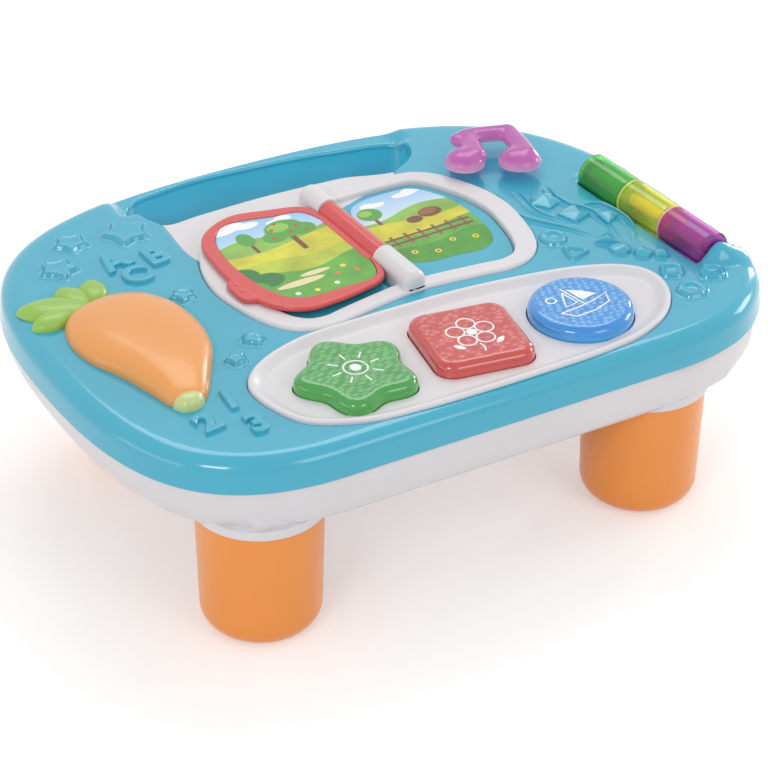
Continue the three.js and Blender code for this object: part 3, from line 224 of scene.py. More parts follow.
def lightUp():
    world = bpy.data.worlds.new("studio")
    bpy.context.scene.world = world
    sky = Finish("studio", world)
    sky.tree.nodes.clear()
    plain, white = (sky.node("ShaderNodeBackground", {}, {"Color": (1, 1, 1, 1), "Strength": studio[key]})
                    for key in ("ambient", "white"))
    mixed = sky.node("ShaderNodeMixShader", {}, {0: sky.lookedAt(), 1: plain, 2: white})
    sky.node("ShaderNodeOutputWorld", {}, {"Surface": mixed})
    for name, place, aim, size, power in studio["lamps"]:
        bpy.ops.object.light_add(type="AREA", location=place)
        lamp = bpy.context.object
        lamp.name = name
        lamp.rotation_euler = (Vector(aim) - Vector(place)).to_track_quat("-Z", "Y").to_euler()
        lamp.data.shape = "RECTANGLE"
        lamp.data.size, lamp.data.size_y = size
        lamp.data.energy = power


def layFloor():
    bpy.ops.object.select_all(action="DESELECT")
    bpy.ops.mesh.primitive_plane_add(size=studio["floorSize"])
    floor = bpy.context.object
    floor.name = "floor"
    finish = Finish("paleFloor")
    finish.feed(
        colour=studio["floorColour"], roughness=0.9, specular=0.0, glowStrength=1.0,
        glow=finish.blend(finish.lookedAt(), (0, 0, 0, 1), studio["floorGlow"]))
    floor.data.materials.append(finish.material)


lightUp()
layFloor()
print("studio ready")


def evenly(points, count):
    lengths = [0]
    closed = points + [points[0]]
    for a, b in zip(closed, closed[1:]):
        lengths.append(lengths[-1] + (Vector(b) - Vector(a)).length)
    spaced, k = [], 0
    for i in range(count):
        want = lengths[-1] * i / count
        while lengths[k + 1] < want:
            k += 1
        share = (want - lengths[k]) / max(lengths[k + 1] - lengths[k], 1e-9)
        spaced.append(Vector(closed[k]).lerp(Vector(closed[k + 1]), share))
    return spaced


# One piece of a centripetal spline between b and c
def splinePiece(a, b, c, d, steps):
    ab, bc, cd = (max(math.sqrt((q - p).length), 1e-4) for p, q in ((a, b), (b, c), (c, d)))
    start = ((b - a) / ab - (c - a) / (ab + bc) + (c - b) / bc) * bc
    end = ((c - b) / bc - (d - b) / (bc + cd) + (d - c) / cd) * bc
    for i in range(steps):
        t = i / steps
        yield b + start * t + (3 * (c - b) - 2 * start - end) * t * t + (2 * (b - c) + start + end) * t ** 3


def smoothLoop(points, count):
    points = [Vector(p) for p in points]
    total = len(points)
    fine = []
    for i in range(total):
        fine += splinePiece(points[i - 1], points[i], points[(i + 1) % total], points[(i + 2) % total], 16)
    return evenly(fine, count)


def smoothPath(points, steps=10):
    points = [Vector(p) for p in points]
    ends = [2 * points[0] - points[1], *points, 2 * points[-1] - points[-2]]
    fine = []
    for i in range(len(points) - 1):
        fine += splinePiece(*ends[i:i + 4], steps)
    return fine + [points[-1]]


def softened(loop, passes):
    for _ in range(passes):
        loop = [(loop[i - 1] + 2 * loop[i] + loop[(i + 1) % len(loop)]) / 4 for i in range(len(loop))]
    return loop


def outward(loop):
    normals = []
    for i in range(len(loop)):
        along = (loop[(i + 1) % len(loop)] - loop[i - 1]).normalized()
        normals.append(Vector((along.y, -along.x)))
    return normals


def inset(loop, side, front=None):
    front = side if front is None else front
    return [p - n * (side * n.x * n.x + front * n.y * n.y) for p, n in zip(loop, outward(loop))]


def scaled(shares, halfX, halfY):
    return [(x * halfX, y * halfY) for x, y in shares]


def placed(loop, x, y, turn=0):
    c, s = math.cos(turn), math.sin(turn)
    return [Vector((x + p[0] * c - p[1] * s, y + p[0] * s + p[1] * c)) for p in loop]


def circleLoop(radius, count):
    return [Vector((radius * math.cos(i / count * math.tau), radius * math.sin(i / count * math.tau)))
            for i in range(count)]


def high(loop, z):
    return [Vector((p[0], p[1], z)) for p in loop]


def quarter(steps):
    return [(i + 1) / steps * math.pi / 2 for i in range(steps)]


# Levels of [height, inset] round an upper edge
def bend(top, round, steps):
    return [(top - round * (1 - math.sin(a)), round * (1 - math.cos(a))) for a in quarter(steps)]


# Levels for a plate with a rounded upper edge, and a rounded lower one if asked
def roundLevels(low, top, round, steps=5, lowRound=0):
    levels = []
    if lowRound:
        levels = [(low + lowRound * (1 - math.sin(a)), lowRound * (1 - math.cos(a))) for a in reversed(quarter(3))]
    return levels + [(low + lowRound, 0), (top - round, 0)] + bend(top, round, steps)


def levelRings(loop, levels):
    return [high(inset(loop, *level[1:]), level[0]) for level in levels]


# Selects nothing but these pieces, and makes the first of them active
def pick(*pieces):
    bpy.ops.object.select_all(action="DESELECT")
    for piece in pieces:
        piece.select_set(True)
    bpy.context.view_layer.objects.active = pieces[0]


def editing(piece, mode="VERT"):
    pick(piece)
    bpy.ops.object.mode_set(mode="EDIT")
    bpy.ops.mesh.select_mode(type=mode)


def done():
    bpy.ops.object.mode_set(mode="OBJECT")


def selectOnly(piece, test):
    mesh = bmesh.from_edit_mesh(piece.data)
    bpy.ops.mesh.select_all(action="DESELECT")
    for vertex in mesh.verts:
        vertex.select_set(test(vertex))
    mesh.select_flush(True)
    bmesh.update_edit_mesh(piece.data)


def closeUp():
    bpy.ops.mesh.select_all(action="SELECT")
    bpy.ops.mesh.normals_make_consistent(inside=False)
    done()


# A circle is added, then its edge is extruded from ring to ring; ends: "cap", "open" or "bridge"
def stackRings(name, rings, low="cap", top="cap"):
    count = len(rings[0])
    bpy.ops.object.select_all(action="DESELECT")
    bpy.ops.mesh.primitive_circle_add(vertices=count, radius=0.01)
    piece = bpy.context.object
    piece.name = name
    piece.data.name = name
    for vertex, place in zip(piece.data.vertices, rings[0]):
        vertex.co = place * mm
    editing(piece)
    bpy.ops.mesh.select_all(action="SELECT")
    order = {i: i for i in range(count)}
    for ring in rings[1:]:
        bpy.ops.mesh.extrude_edges_move()
        mesh = bmesh.from_edit_mesh(piece.data)
        mesh.verts.index_update()
        fresh = {}
        for vertex in mesh.verts:
            if vertex.select:
                for edge in vertex.link_edges:
                    other = edge.other_vert(vertex)
                    if not other.select:
                        fresh[vertex.index] = order[other.index]
                        vertex.co = ring[order[other.index]] * mm
        order = fresh
    last = set(order)
    if top == "bridge":
        selectOnly(piece, lambda v: v.index in last or v.index < count)
        bpy.ops.mesh.select_mode(type="EDGE")
        mesh = bmesh.from_edit_mesh(piece.data)
        for edge in mesh.edges:
            edge.select_set(edge.is_boundary)
        bmesh.update_edit_mesh(piece.data)
        bpy.ops.mesh.bridge_edge_loops()
    else:
        if top == "cap":
            bpy.ops.mesh.edge_face_add()
        if low == "cap":
            selectOnly(piece, lambda v: v.index < count)
            bpy.ops.mesh.edge_face_add()
    closeUp()
    return piece


def plate(name, loop, levels):
    return stackRings(name, levelRings(loop, levels))


def fillAt(piece, low, top):
    editing(piece, "EDGE")
    mesh = bmesh.from_edit_mesh(piece.data)
    bpy.ops.mesh.select_all(action="DESELECT")
    for edge in mesh.edges:
        if edge.is_boundary and all(low * mm < v.co.z < top * mm for v in edge.verts):
            edge.select_set(True)
    bmesh.update_edit_mesh(piece.data)
    bpy.ops.mesh.fill(use_beauty=True)
    closeUp()


# A plate whose rings shrink towards its middle as they rise
def domed(name, loop, low, rise, steps=9, least=0.05, power=1.0, foot=0.3):
    centre = sum(loop, Vector((0, 0))) / len(loop)
    rings = [high(loop, low - foot)]
    for i in range(steps + 1):
        a = i / steps * math.acos(least)
        share = math.cos(a) ** power
        rings.append(high([centre + (p - centre) * share for p in loop], low + rise * math.sin(a)))
    return stackRings(name, rings)


# A copy of a CAD node whose loose triangles are merged, for a smooth finish
def cadCopy(node, name):
    piece = bpy.data.objects.new(name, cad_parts[node].data.copy())
    bpy.context.collection.objects.link(piece)
    piece.data.name = name
    editing(piece)
    bpy.ops.mesh.select_all(action="SELECT")
    bpy.ops.mesh.remove_doubles(threshold=0.00002)
    done()
    return piece


def joinPieces(name, pieces):
    pick(*pieces)
    if len(pieces) > 1:
        bpy.ops.object.join()
    joined = bpy.context.object
    joined.name = name
    joined.data.name = name
    return joined


def modify(piece, kind, **settings):
    pick(piece)
    modifier = piece.modifiers.new(kind.lower(), kind)
    for key, value in settings.items():
        setattr(modifier, key, value)
    bpy.ops.object.modifier_apply(modifier=modifier.name)


def carve(piece, *cutters):
    for cutter in cutters:
        modify(piece, "BOOLEAN", operation="DIFFERENCE", object=cutter, solver="EXACT")
        bpy.data.objects.remove(cutter)


def smoothed(piece, angle=35):
    pick(piece)
    bpy.ops.object.shade_smooth_by_angle(angle=math.radians(angle))
    modify(piece, "WEIGHTED_NORMAL", weight=60, keep_sharp=True, mode="FACE_AREA")


# Moves a piece that was built about its own middle to its place on the table
def turnedAt(piece, spec, height=0):
    x, y = spec["centre"]
    piece.data.transform(
        Matrix.Translation((x * mm, y * mm, height * mm)) @ Matrix.Rotation(spec["turn"], 4, "Z"))
    piece.data.update()
    return piece


# Gives a piece its finish, its body and the CAD nodes it stands for
def dress(piece, material, body, slot, *nodes, angle=35, flat=False):
    piece.data.validate()
    piece.data.materials.clear()
    piece.data.materials.append(material)
    if not flat:
        smoothed(piece, angle)
    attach(piece, body)
    if nodes:
        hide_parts(*nodes)
    return piece


tableBlue = mouldedPlastic("tableBlue", (60, 178, 206), (54, 172, 201), 0.16, 0.5)
softWhite = mouldedPlastic("softWhite", (228, 225, 228), (222, 219, 222), 0.35, 0.12)
legOrange = mouldedPlastic("legOrange", (248, 154, 66), (243, 146, 60), 0.3, 0.2)
pageRed = mouldedPlastic("pageRed", (222, 82, 80), (216, 74, 74), 0.2, 0.4)
darkPlastic = mouldedPlastic("darkPlastic", (52, 52, 55), (40, 40, 43), 0.4, 0.05)
print("finishes ready")


tableTop = {
    "half": (213.9, 159.4), "points": 336, "borderHeight": 110.8, "bandTop": 120.8, "top": 131,
    "draft": 0.35, "straight": 5, "steps": 10, "bandInset": 1, "runFront": 10, "runSide": 12,
    "runHandle": 3, "troughRoom": 2, "pocketFloor": 125.5, "clearance": 0.3, "lip": 0.8, "lipSteps": 5,
    "handleDrop": 5.5, "handleEnds": (-97, 99), "handleEase": (7, 4), "handleFront": (122, 131),
    "arcs": [(-0.47, -1), (0.52, -1), (1, -0.23), (-0.1, 1), (-1, -0.03)],
    "handles": [0.42, 0.48, 1.12, 0.68, 0.79, 0.68, 0.58, 0.44],
    "corner": {"push": 4.5, "across": (164, 205), "front": (-150, -112), "back": (-88, -48)},
}
slotHole = {
    "centre": (3.5, 122.2), "half": (95, 28.1), "points": 160, "widened": 2.2, "lip": 1.3, "barLip": 0.9,
    "lipBottom": 122, "opening": 340, "tube": [(0.1, 125.9), (0.4, 110), (0.8, 98)], "tubeDrop": 3.8,
    "shares": [
        (-0.88, -0.66), (-0.65, -0.61), (-0.16, -0.57), (0.2, -0.63), (0.42, -0.7), (0.6, -0.9),
        (0.73, -0.99), (0.85, -0.82), (0.945, -0.55), (0.99, -0.3), (1, -0.05), (0.95, 0.28),
        (0.82, 0.48), (0.6, 0.63), (0.3, 0.82), (-0.04, 0.93), (-0.4, 1), (-0.7, 0.91), (-0.93, 0.74),
        (-1, 0.42), (-0.98, -0.2), (-0.94, -0.52)],
}
book = {
    "centre": (9.8, 31.3), "turn": math.radians(2.2), "spine": 135.4, "width": 206.4, "depth": 133,
    "front": -78.3, "top": 133.2, "bottom": 125.8, "round": 2.6, "rimSide": 15, "rimFront": 11,
    "innerRound": 1.6, "ledgeTop": 130, "ledgeRound": 0.9, "points": 200, "pocketPoints": 260,
    "baseOverlap": 5, "baseTop": 127.8, "padTop": 129.8, "padLow": 127.4, "padEdge": 11,
    "cardLow": 129.3, "cardTop": 129.95, "pageCardDepth": 3, "pageCardSunk": 0.6,
    "frame": [
        (0, 0.06), (0.2, 0.045), (0.42, 0.02), (0.6, 0), (0.75, 0.025), (0.86, 0.095), (0.925, 0.19),
        (0.975, 0.34), (1, 0.5), (0.965, 0.67), (0.89, 0.81), (0.81, 0.91), (0.7, 0.975), (0.5, 1)],
    "ledge": [
        (-0.86, 0.76), (0.25, 0.9), (0.48, 0.985), (0.58, 1.005), (0.64, 1.03), (0.55, 1.2),
        (0, 1.24), (-0.6, 1.24), (-0.84, 1.24), (-0.89, 1.1)],
    "card": [
        (0.17, 0.29), (0.45, 0.24), (0.58, 0.225), (0.68, 0.25), (0.74, 0.33), (0.765, 0.47),
        (0.76, 0.63), (0.71, 0.76), (0.62, 0.86), (0.52, 0.885), (0.17, 0.84)],
}
page = {
    "thickness": 3.6, "width": 84.4, "depth": 117, "inner": 8.6, "front": -61.8, "round": 1.4,
    "windowRound": 0.5, "barrel": 6.7, "barrelLength": 63.2, "tabCentre": -21, "tabSquash": 0.8,
    "bumps": (-4, 4), "bumpRadius": 1.6, "armHalf": 5.2, "armPlace": -5.8,
    "tab": [(-4.4, -11), (-3.6, -15), (0, -18.5), (4, -20), (4, 14), (0, 13), (-3.6, 10.5), (-4.4, 6)],
    "outline": [
        (0, 0.14), (0.07, 0.06), (0.31, 0.015), (0.5, 0), (0.7, 0.005), (0.83, 0.055), (0.93, 0.15),
        (0.985, 0.29), (1, 0.45), (0.985, 0.63), (0.935, 0.82), (0.86, 0.9), (0.71, 0.97), (0.54, 1),
        (0.29, 0.955), (0.05, 0.895), (0, 0.84)],
    "window": [
        (0.075, 0.11), (0.38, 0.085), (0.64, 0.094), (0.756, 0.141), (0.837, 0.26), (0.884, 0.47),
        (0.878, 0.662), (0.826, 0.808), (0.709, 0.915), (0.593, 0.932), (0.326, 0.885), (0.075, 0.829)],
}
spineCap = {
    "radius": 7.8, "low": 128.1, "round": 5, "reach": {"rear": (31.9, 56.9), "front": (-31.9, -70)},
}
tray = {
    "centre": (10.5, -99.9), "half": (134.7, 50.2), "lip": 133.4, "lipRound": 1.7, "bottom": 125.8,
    "floor": 129, "under": 127, "points": 176,
    "cove": [(0, 2.2), (0.25, 3.2), (1.2, 4.4), (2.5, 5.9), (3.7, 7.8), (4.3, 9.6), (4.4, 11.4)],
    "holeEdge": [(0.5, 0), (0.15, 0.15), (0, 0.5)],
    "shares": [
        (-1, 0.2), (-0.98, 0.42), (-0.91, 0.64), (-0.79, 0.83), (-0.61, 0.97), (-0.37, 1), (-0.1, 1),
        (0.16, 0.98), (0.45, 0.89), (0.73, 0.74), (0.91, 0.52), (0.99, 0.27), (1, -0.05), (0.95, -0.38),
        (0.84, -0.68), (0.66, -0.9), (0.45, -0.98), (0.14, -1), (-0.16, -1), (-0.42, -0.98),
        (-0.64, -0.92), (-0.82, -0.74), (-0.92, -0.53), (-0.98, -0.16)],
}
roller = {
    "centre": (182, -34), "turn": math.radians(4.4), "height": 136, "radius": 12, "length": 117,
    "gap": 0.6, "running": 1.2, "endGap": 0.6, "troughHalf": 12.2, "troughSteps": 12,
    "troughTop": 129.8, "lipBottom": 130, "corner": 1.2, "points": 96,
}


def tableLoop():
    halfX, halfY = tableTop["half"]
    frontLeft, frontRight, right, back, left = (Vector((x * halfX, y * halfY)) for x, y in tableTop["arcs"])
    h = tableTop["handles"]
    arcs = [
        (frontRight, (h[0], 0), (0, -h[1]), right), (right, (0, h[2]), (h[3], 0), back),
        (back, (-h[4], 0), (0, h[5]), left), (left, (0, -h[6]), (-h[7], 0), frontLeft)]
    fine = [frontLeft.lerp(frontRight, i / 60) for i in range(60)]
    for start, first, second, end in arcs:
        a = start + Vector((first[0] * halfX, first[1] * halfY))
        b = end + Vector((second[0] * halfX, second[1] * halfY))
        for i in range(80):
            t = i / 80
            fine.append(start * (1 - t) ** 3 + a * 3 * t * (1 - t) ** 2 + b * 3 * t * t * (1 - t) + end * t ** 3)
    return evenly(fine, tableTop["points"])


def inFrame(share):
    return (share[0] * book["width"] / 2, book["front"] + share[1] * book["depth"])


def mirroredLoop(half, count):
    rightSide = [inFrame(s) for s in half]
    return smoothLoop(rightSide + [(-x, y) for x, y in reversed(rightSide[1:])], count)


def inBook(loop):
    return placed(loop, *book["centre"], book["turn"])


def pageLoop(shares, count):
    points = [(-page["inner"] - x * page["width"], page["front"] + y * page["depth"]) for x, y in shares]
    return list(reversed(smoothLoop(points, count)))


def ease(value, low, top):
    t = min(max((value - low) / (top - low), 0), 1)
    return t * t * (3 - 2 * t)


# How far a place lies within the handle bar: 0 outside, 1 on it
def onHandle(p):
    left, right = tableTop["handleEnds"]
    out, into = tableTop["handleEase"]
    across = ease(p[0], left - out, left + into) * (1 - ease(p[0], right - into, right + out))
    return across * ease(p[1], *tableTop["handleFront"])


def inside(loop, p):
    hit = False
    for i in range(len(loop)):
        a, b = loop[i - 1], loop[i]
        if (a[1] > p[1]) != (b[1] > p[1]) and p[0] < (b[0] - a[0]) * (p[1] - a[1]) / (b[1] - a[1]) + a[0]:
            hit = not hit
    return hit


# The one stretch of a loop that a test keeps
def stretch(loop, keep):
    flags = [keep(p) for p in loop]
    start = next(i for i in range(len(loop)) if flags[i] and not flags[i - 1])
    kept = []
    while flags[start % len(loop)]:
        kept.append(loop[start % len(loop)])
        start += 1
    return kept


# The outer run of two loops that cross twice
def unite(first, second):
    return stretch(first, lambda p: not inside(second, p)) + stretch(second, lambda p: not inside(first, p))


# What is left of one loop outside another that it crosses twice
def cutAway(first, second):
    cut = stretch(second, lambda p: inside(first, p))
    return stretch(first, lambda p: not inside(second, p)) + list(reversed(cut))


# The front right corner is a little fuller than the solid's
def fuller(p):
    spec = tableTop["corner"]
    share = ease(p[0], *spec["across"]) * ease(p[1], *spec["front"]) * (1 - ease(p[1], *spec["back"]))
    return Vector((min(p[0] + spec["push"] * share, max(p[0], tableTop["half"][0])), p[1]))


def sharedLoop(spec, turned=False):
    loop = smoothLoop(scaled(spec["shares"], *spec["half"]), spec["points"])
    return placed(list(reversed(loop)) if turned else loop, *spec["centre"])


tableOutline = evenly([fuller(p) for p in tableLoop()], tableTop["points"])
slotOutline = sharedLoop(slotHole)
slotOutline = [p + n * slotHole["widened"] * onHandle(p) for p, n in zip(slotOutline, outward(slotOutline))]
frameLocal = mirroredLoop(book["frame"], book["points"])
ledgeLocal = smoothLoop([inFrame(s) for s in book["ledge"]], 120)
wellLocal = inset(frameLocal, book["rimSide"], book["rimFront"])
trayOutline = sharedLoop(tray, True)


# Heights of the humps over the axle's ends, and how the cuts and the smoothing round them go
hump = {
    "height": 10.8, "falls": (0.5, 0.85), "near": 13.5, "crest": 3, "fall": 13, "foot": 9.5,
    "spread": 0.014, "level": 0.15, "fade": 3, "coarse": 6, "fine": 1.8, "reach": (17, 22),
    "shoulders": [(-132, -72), (80, 130)], "from": 0.5, "gap": 2, "passes": 8,
}


# A hump climbs across the roller to a crest, drops towards the table's edge and falls away past
# the roller's end, soon at the near lip and later further out
def humpHeight(across, past, fall):
    spec = hump
    reach = spec["foot"] + spec["spread"] * max(across + spec["near"], 0) ** 2
    drop = fall * ease(across, spec["crest"], spec["crest"] + spec["fall"])
    climb = ease(across, -spec["near"], spec["crest"]) * (1 - drop)
    return spec["height"] * climb * (1 - ease(past / reach, spec["level"], 1))


# A place as the roller has it: how far across it and how far along it
def byRoller(p):
    c, s = math.cos(roller["turn"]), math.sin(roller["turn"])
    dx, dy = p[0] - roller["centre"][0], p[1] - roller["centre"][1]
    return dx * c + dy * s, dy * c - dx * s


# What the moulding adds to the flat top at a place: humps at the roller's ends, and the dropped handle
def swell(p):
    rise = -tableTop["handleDrop"] * onHandle(p)
    across, along = byRoller(p)
    past = abs(along) - roller["length"] / 2 - roller["endGap"]
    if past > -hump["fade"]:
        rise += humpHeight(across, max(past, 0), hump["falls"][along > 0]) * ease(past, -hump["fade"], 0)
    return rise


# How far a place lies from the lip of the roller's trough
def troughGap(p):
    across, along = byRoller(p)
    across = abs(across) - roller["troughHalf"] - tableTop["lip"]
    along = abs(along) - roller["length"] / 2 - roller["endGap"] - tableTop["lip"]
    return math.hypot(max(across, 0), max(along, 0))


def edgeRings():
    spec = tableTop
    rise = spec["top"] - spec["bandTop"]
    normals = outward(tableOutline)
    rings = [high(tableOutline, spec["borderHeight"]),
             high(inset(tableOutline, spec["draft"]), spec["borderHeight"] + spec["straight"])]
    for a in [0] + quarter(spec["steps"]):
        ring = []
        for p, n in zip(tableOutline, normals):
            share = onHandle(p)
            run = (spec["runSide"] * n.x * n.x + spec["runFront"] * n.y * n.y) * (1 - share)
            run = min(run + spec["runHandle"] * share, troughGap(p) - spec["bandInset"] - spec["troughRoom"])
            place = p - n * (spec["bandInset"] + run * (1 - math.cos(a)))
            ring.append(Vector((place.x, place.y, spec["bandTop"] + rise * math.sin(a))))
        rings.append(ring)
    return rings


# Rings from the flat top over a rounded lip down a wall
def lipRings(loop, lip, bottom, onBar=0):
    rings = []
    for a in [0] + quarter(tableTop["lipSteps"]):
        ring = []
        for p, n in zip(loop, outward(loop)):
            wide = lip + onBar * onHandle(p)
            place = p + n * wide * (1 - math.sin(a))
            ring.append(Vector((place.x, place.y, tableTop["top"] - wide * (1 - math.cos(a)))))
        rings.append(ring)
    return rings + [high(loop, bottom)]


# Says how far each vertex follows the swell of the top
def tagLift(piece, share):
    group = piece.vertex_groups.new(name="lift")
    for vertex in piece.data.vertices:
        group.add([vertex.index], share(vertex.co.z / mm), "REPLACE")
    return piece

def selectTop(piece, near, far):
    mesh = bmesh.from_edit_mesh(piece.data)
    bpy.ops.mesh.select_all(action="DESELECT")
    for face in mesh.faces:
        place = face.calc_center_median() / mm
        if face.normal.z > 0.99 and place.z > tableTop["top"] - 0.01:
            if near[0] < place.x < far[0] and near[1] < place.y < far[1]:
                face.select_set(True)
    bmesh.update_edit_mesh(piece.data)


# Cuts the flat top into squares
def gridCuts(piece, near, far, step):
    for axis in (0, 1):
        for k in range(1, int((far[axis] - near[axis]) / step)):
            selectTop(piece, near, far)
            place = [0, 0, 0]
            place[axis] = (near[axis] + k * step) * mm
            bpy.ops.mesh.bisect(plane_co=place, plane_no=(1 - axis, axis, 0))


def liftTop(piece):
    index = piece.vertex_groups["lift"].index
    for vertex in piece.data.vertices:
        share = sum(g.weight for g in vertex.groups if g.group == index)
        if share > 0:
            vertex.co.z += share * swell(vertex.co / mm) * mm
    piece.vertex_groups.clear()
    group = piece.vertex_groups.new(name="humps")
    for vertex in piece.data.vertices:
        if vertex.co.z > (tableTop["top"] + hump["from"]) * mm and troughGap(vertex.co / mm) > hump["gap"]:
            group.add([vertex.index], 1, "REPLACE")
    modify(piece, "SMOOTH", vertex_group="humps", factor=0.5, iterations=hump["passes"])
    piece.vertex_groups.clear()


def troughRings(local):
    spec = roller

    def across(wide):
        return placed([(x * wide, y) for x, y in local], *spec["centre"], spec["turn"])

    rings = lipRings(across(1), tableTop["lip"], spec["lipBottom"])[:-1]
    reach = spec["radius"] + spec["running"]
    for k in range(1, spec["troughSteps"] + 1):
        down = math.pi / 2 * k / spec["troughSteps"]
        height = spec["height"] - reach * math.sin(down)
        if height < spec["troughTop"]:
            rings.append(high(across(max(reach * math.cos(down), 0.05) / spec["troughHalf"]), height))
    return rings


def buildTopShell():
    spec = tableTop
    gap = spec["clearance"]
    rise = spec["top"] - spec["bandTop"]
    outer = tagLift(stackRings("edge", edgeRings(), low="open", top="open"),
                    lambda z: min(max((z - spec["bandTop"]) / rise, 0), 1))
    pocket = unite(inBook(inset(frameLocal, -gap)), inBook(inset(ledgeLocal, -gap)))
    pocket = evenly(pocket, book["pocketPoints"])
    opening = softened(evenly(unite(slotOutline, pocket), slotHole["opening"]), 3)
    reach = roller["length"] / 2 + roller["endGap"]
    trough = evenly(roundedBox(roller["troughHalf"], reach, roller["corner"], 5), book["pocketPoints"])
    walls = [
        stackRings("openingWall", lipRings(opening, slotHole["lip"], slotHole["lipBottom"], slotHole["barLip"]),
                   low="open", top="open"),
        stackRings("trayWall", lipRings(inset(trayOutline, -gap), spec["lip"], spec["pocketFloor"]),
                   low="open", top="open"),
        stackRings("troughWall", troughRings(trough), low="open"),
    ]
    for wall in walls:
        tagLift(wall, lambda z: 1 if z > spec["top"] - 2.5 else 0)
    shell = joinPieces("topShell", [outer, *walls])
    fillAt(shell, spec["top"] - 0.02, spec["top"] + 0.02)
    editing(shell, "FACE")
    gridCuts(shell, (-214, -160), (214, 160), hump["coarse"])
    along, aside = hump["reach"]
    for side in (-1, 1):
        y = roller["centre"][1] + side * (reach + along)
        gridCuts(shell, (156, y - aside), (214, y + aside), hump["fine"])
    for left, right in hump["shoulders"]:
        gridCuts(shell, (left, 104), (right, 160), hump["fine"])
    done()
    liftTop(shell)
    return shell


def roundedBox(halfX, halfY, round, steps):
    points = []
    for turns, (x, y) in enumerate([(1, -1), (1, 1), (-1, 1), (-1, -1)]):
        centre = Vector((x * (halfX - round), y * (halfY - round)))
        for i in range(steps + 1):
            a = (turns - 1 + i / steps) * math.pi / 2
            points.append(centre + round * Vector((math.cos(a), math.sin(a))))
    return points


slotRings = [high(inset(slotOutline, side), z) for side, z in slotHole["tube"]]
for point in slotRings[0]:
    point.z -= slotHole["tubeDrop"] * onHandle(point)
slotTube = stackRings("slotTube", slotRings, low="open", top="open")
# The slot's tube is painted a lighter blue than the table's: painted light, standing in for the light that falls
# short down in the deep slot
slotLitBlue = mouldedPlastic("slotLitBlue", (72, 200, 232), (66, 194, 226), 0.18, 0.4)
dress(slotTube, slotLitBlue, "table", "blue_plastic")
print("table top built")


legs = {
    "places": {
        "leg_front_left": (-135, -117), "leg_front_right": (124, -117),
        "leg_back_left": (-121, 66), "leg_back_right": (112, 66)},
    "radius": 37, "foot": 35.4, "round": 13, "top": 79.5, "plug": 33, "plugTop": 95, "points": 96,
    "collar": 39.2, "collarTop": 86, "collarRound": 1.2,
}


def buildLeg(name, x, y):
    spec = legs
    foot, round, top = spec["foot"], spec["round"], spec["top"]
    profile = [(foot - round, 0)]
    profile += [(foot - round + round * math.sin(a), round * (1 - math.cos(a))) for a in quarter(10)]
    profile += [(foot + (spec["radius"] - foot) * t, round + (top - round) * t) for t in (0.33, 0.66, 1)]
    profile += [(spec["plug"], top), (spec["plug"], spec["plugTop"])]
    return stackRings(name, [high(placed(circleLoop(r, spec["points"]), x, y), z) for r, z in profile])


collars = []
for x, y in legs["places"].values():
    loop = placed(circleLoop(legs["collar"], legs["points"]), x, y)
    collars.append(plate("collar", loop, roundLevels(legs["top"], legs["collarTop"], 0, 1, legs["collarRound"])))
housing = cadCopy("bottom_housing", "bottomHousing")
for vertex in housing.data.vertices:
    vertex.co.xy = fuller(vertex.co.xy / mm) * mm
housing = joinPieces("bottomHousing", [housing, *collars])
dress(housing, softWhite, "table", "white_plastic", "bottom_housing", angle=30)
for node, (x, y) in legs["places"].items():
    camel = "".join(w.capitalize() if i else w for i, w in enumerate(node.split("_")))
    dress(buildLeg(camel, x, y), legOrange, "table", "orange_plastic", node)
print("housing and legs built")


def clipLoop(loop, limit, side):
    kept = []
    for i in range(len(loop)):
        a, b = loop[i - 1], loop[i]
        insideA, insideB = side * a[0] >= limit, side * b[0] >= limit
        if insideA != insideB:
            kept.append(a.lerp(b, (side * limit - a[0]) / (b[0] - a[0])))
        if insideB:
            kept.append(b)
    return kept


def buildBookFrame():
    spec = book
    top, s, side, front = spec["top"], spec["innerRound"], spec["rimSide"], spec["rimFront"]
    levels = [(spec["bottom"], 0, 0), (top - spec["round"], 0, 0), *bend(top, spec["round"], 6)]
    for a in [0] + quarter(5):
        inner = s * (1 - math.sin(a))
        levels.append((top - s * (1 - math.cos(a)), side - inner, front - inner))
    levels.append((spec["bottom"], side, front))
    ring = stackRings("ring", levelRings(inBook(frameLocal), levels), top="bridge")
    ledgeLoop = evenly(cutAway(inBook(ledgeLocal), slotOutline), 200)
    ledge = plate("ledge", ledgeLoop, roundLevels(spec["bottom"], spec["ledgeTop"], spec["ledgeRound"], 4))
    return joinPieces("bookFrame", [ring, ledge])


def buildBookBase():
    spec = book
    base = inBook(inset(wellLocal, -spec["baseOverlap"]))
    pieces = [plate("basePlate", base, roundLevels(spec["bottom"], spec["baseTop"], 0.2, 1))]
    for side in (-1, 1):
        half = evenly(clipLoop(inset(wellLocal, 1), spec["padEdge"], side), 110)
        pieces.append(plate("pad", inBook(half), roundLevels(spec["padLow"], spec["padTop"], 0.8, 4)))
    return joinPieces("bookBase", pieces)


def cardLoop(side):
    loop = smoothLoop([inFrame(s) for s in book["card"]], 90)
    return inBook(loop if side > 0 else [Vector((-p.x, p.y)) for p in reversed(loop)])


def ringsAlongY(section, steps):
    return [[Vector((p[0], y, p[1])) for p in inset(section, amount)] for y, amount in steps]


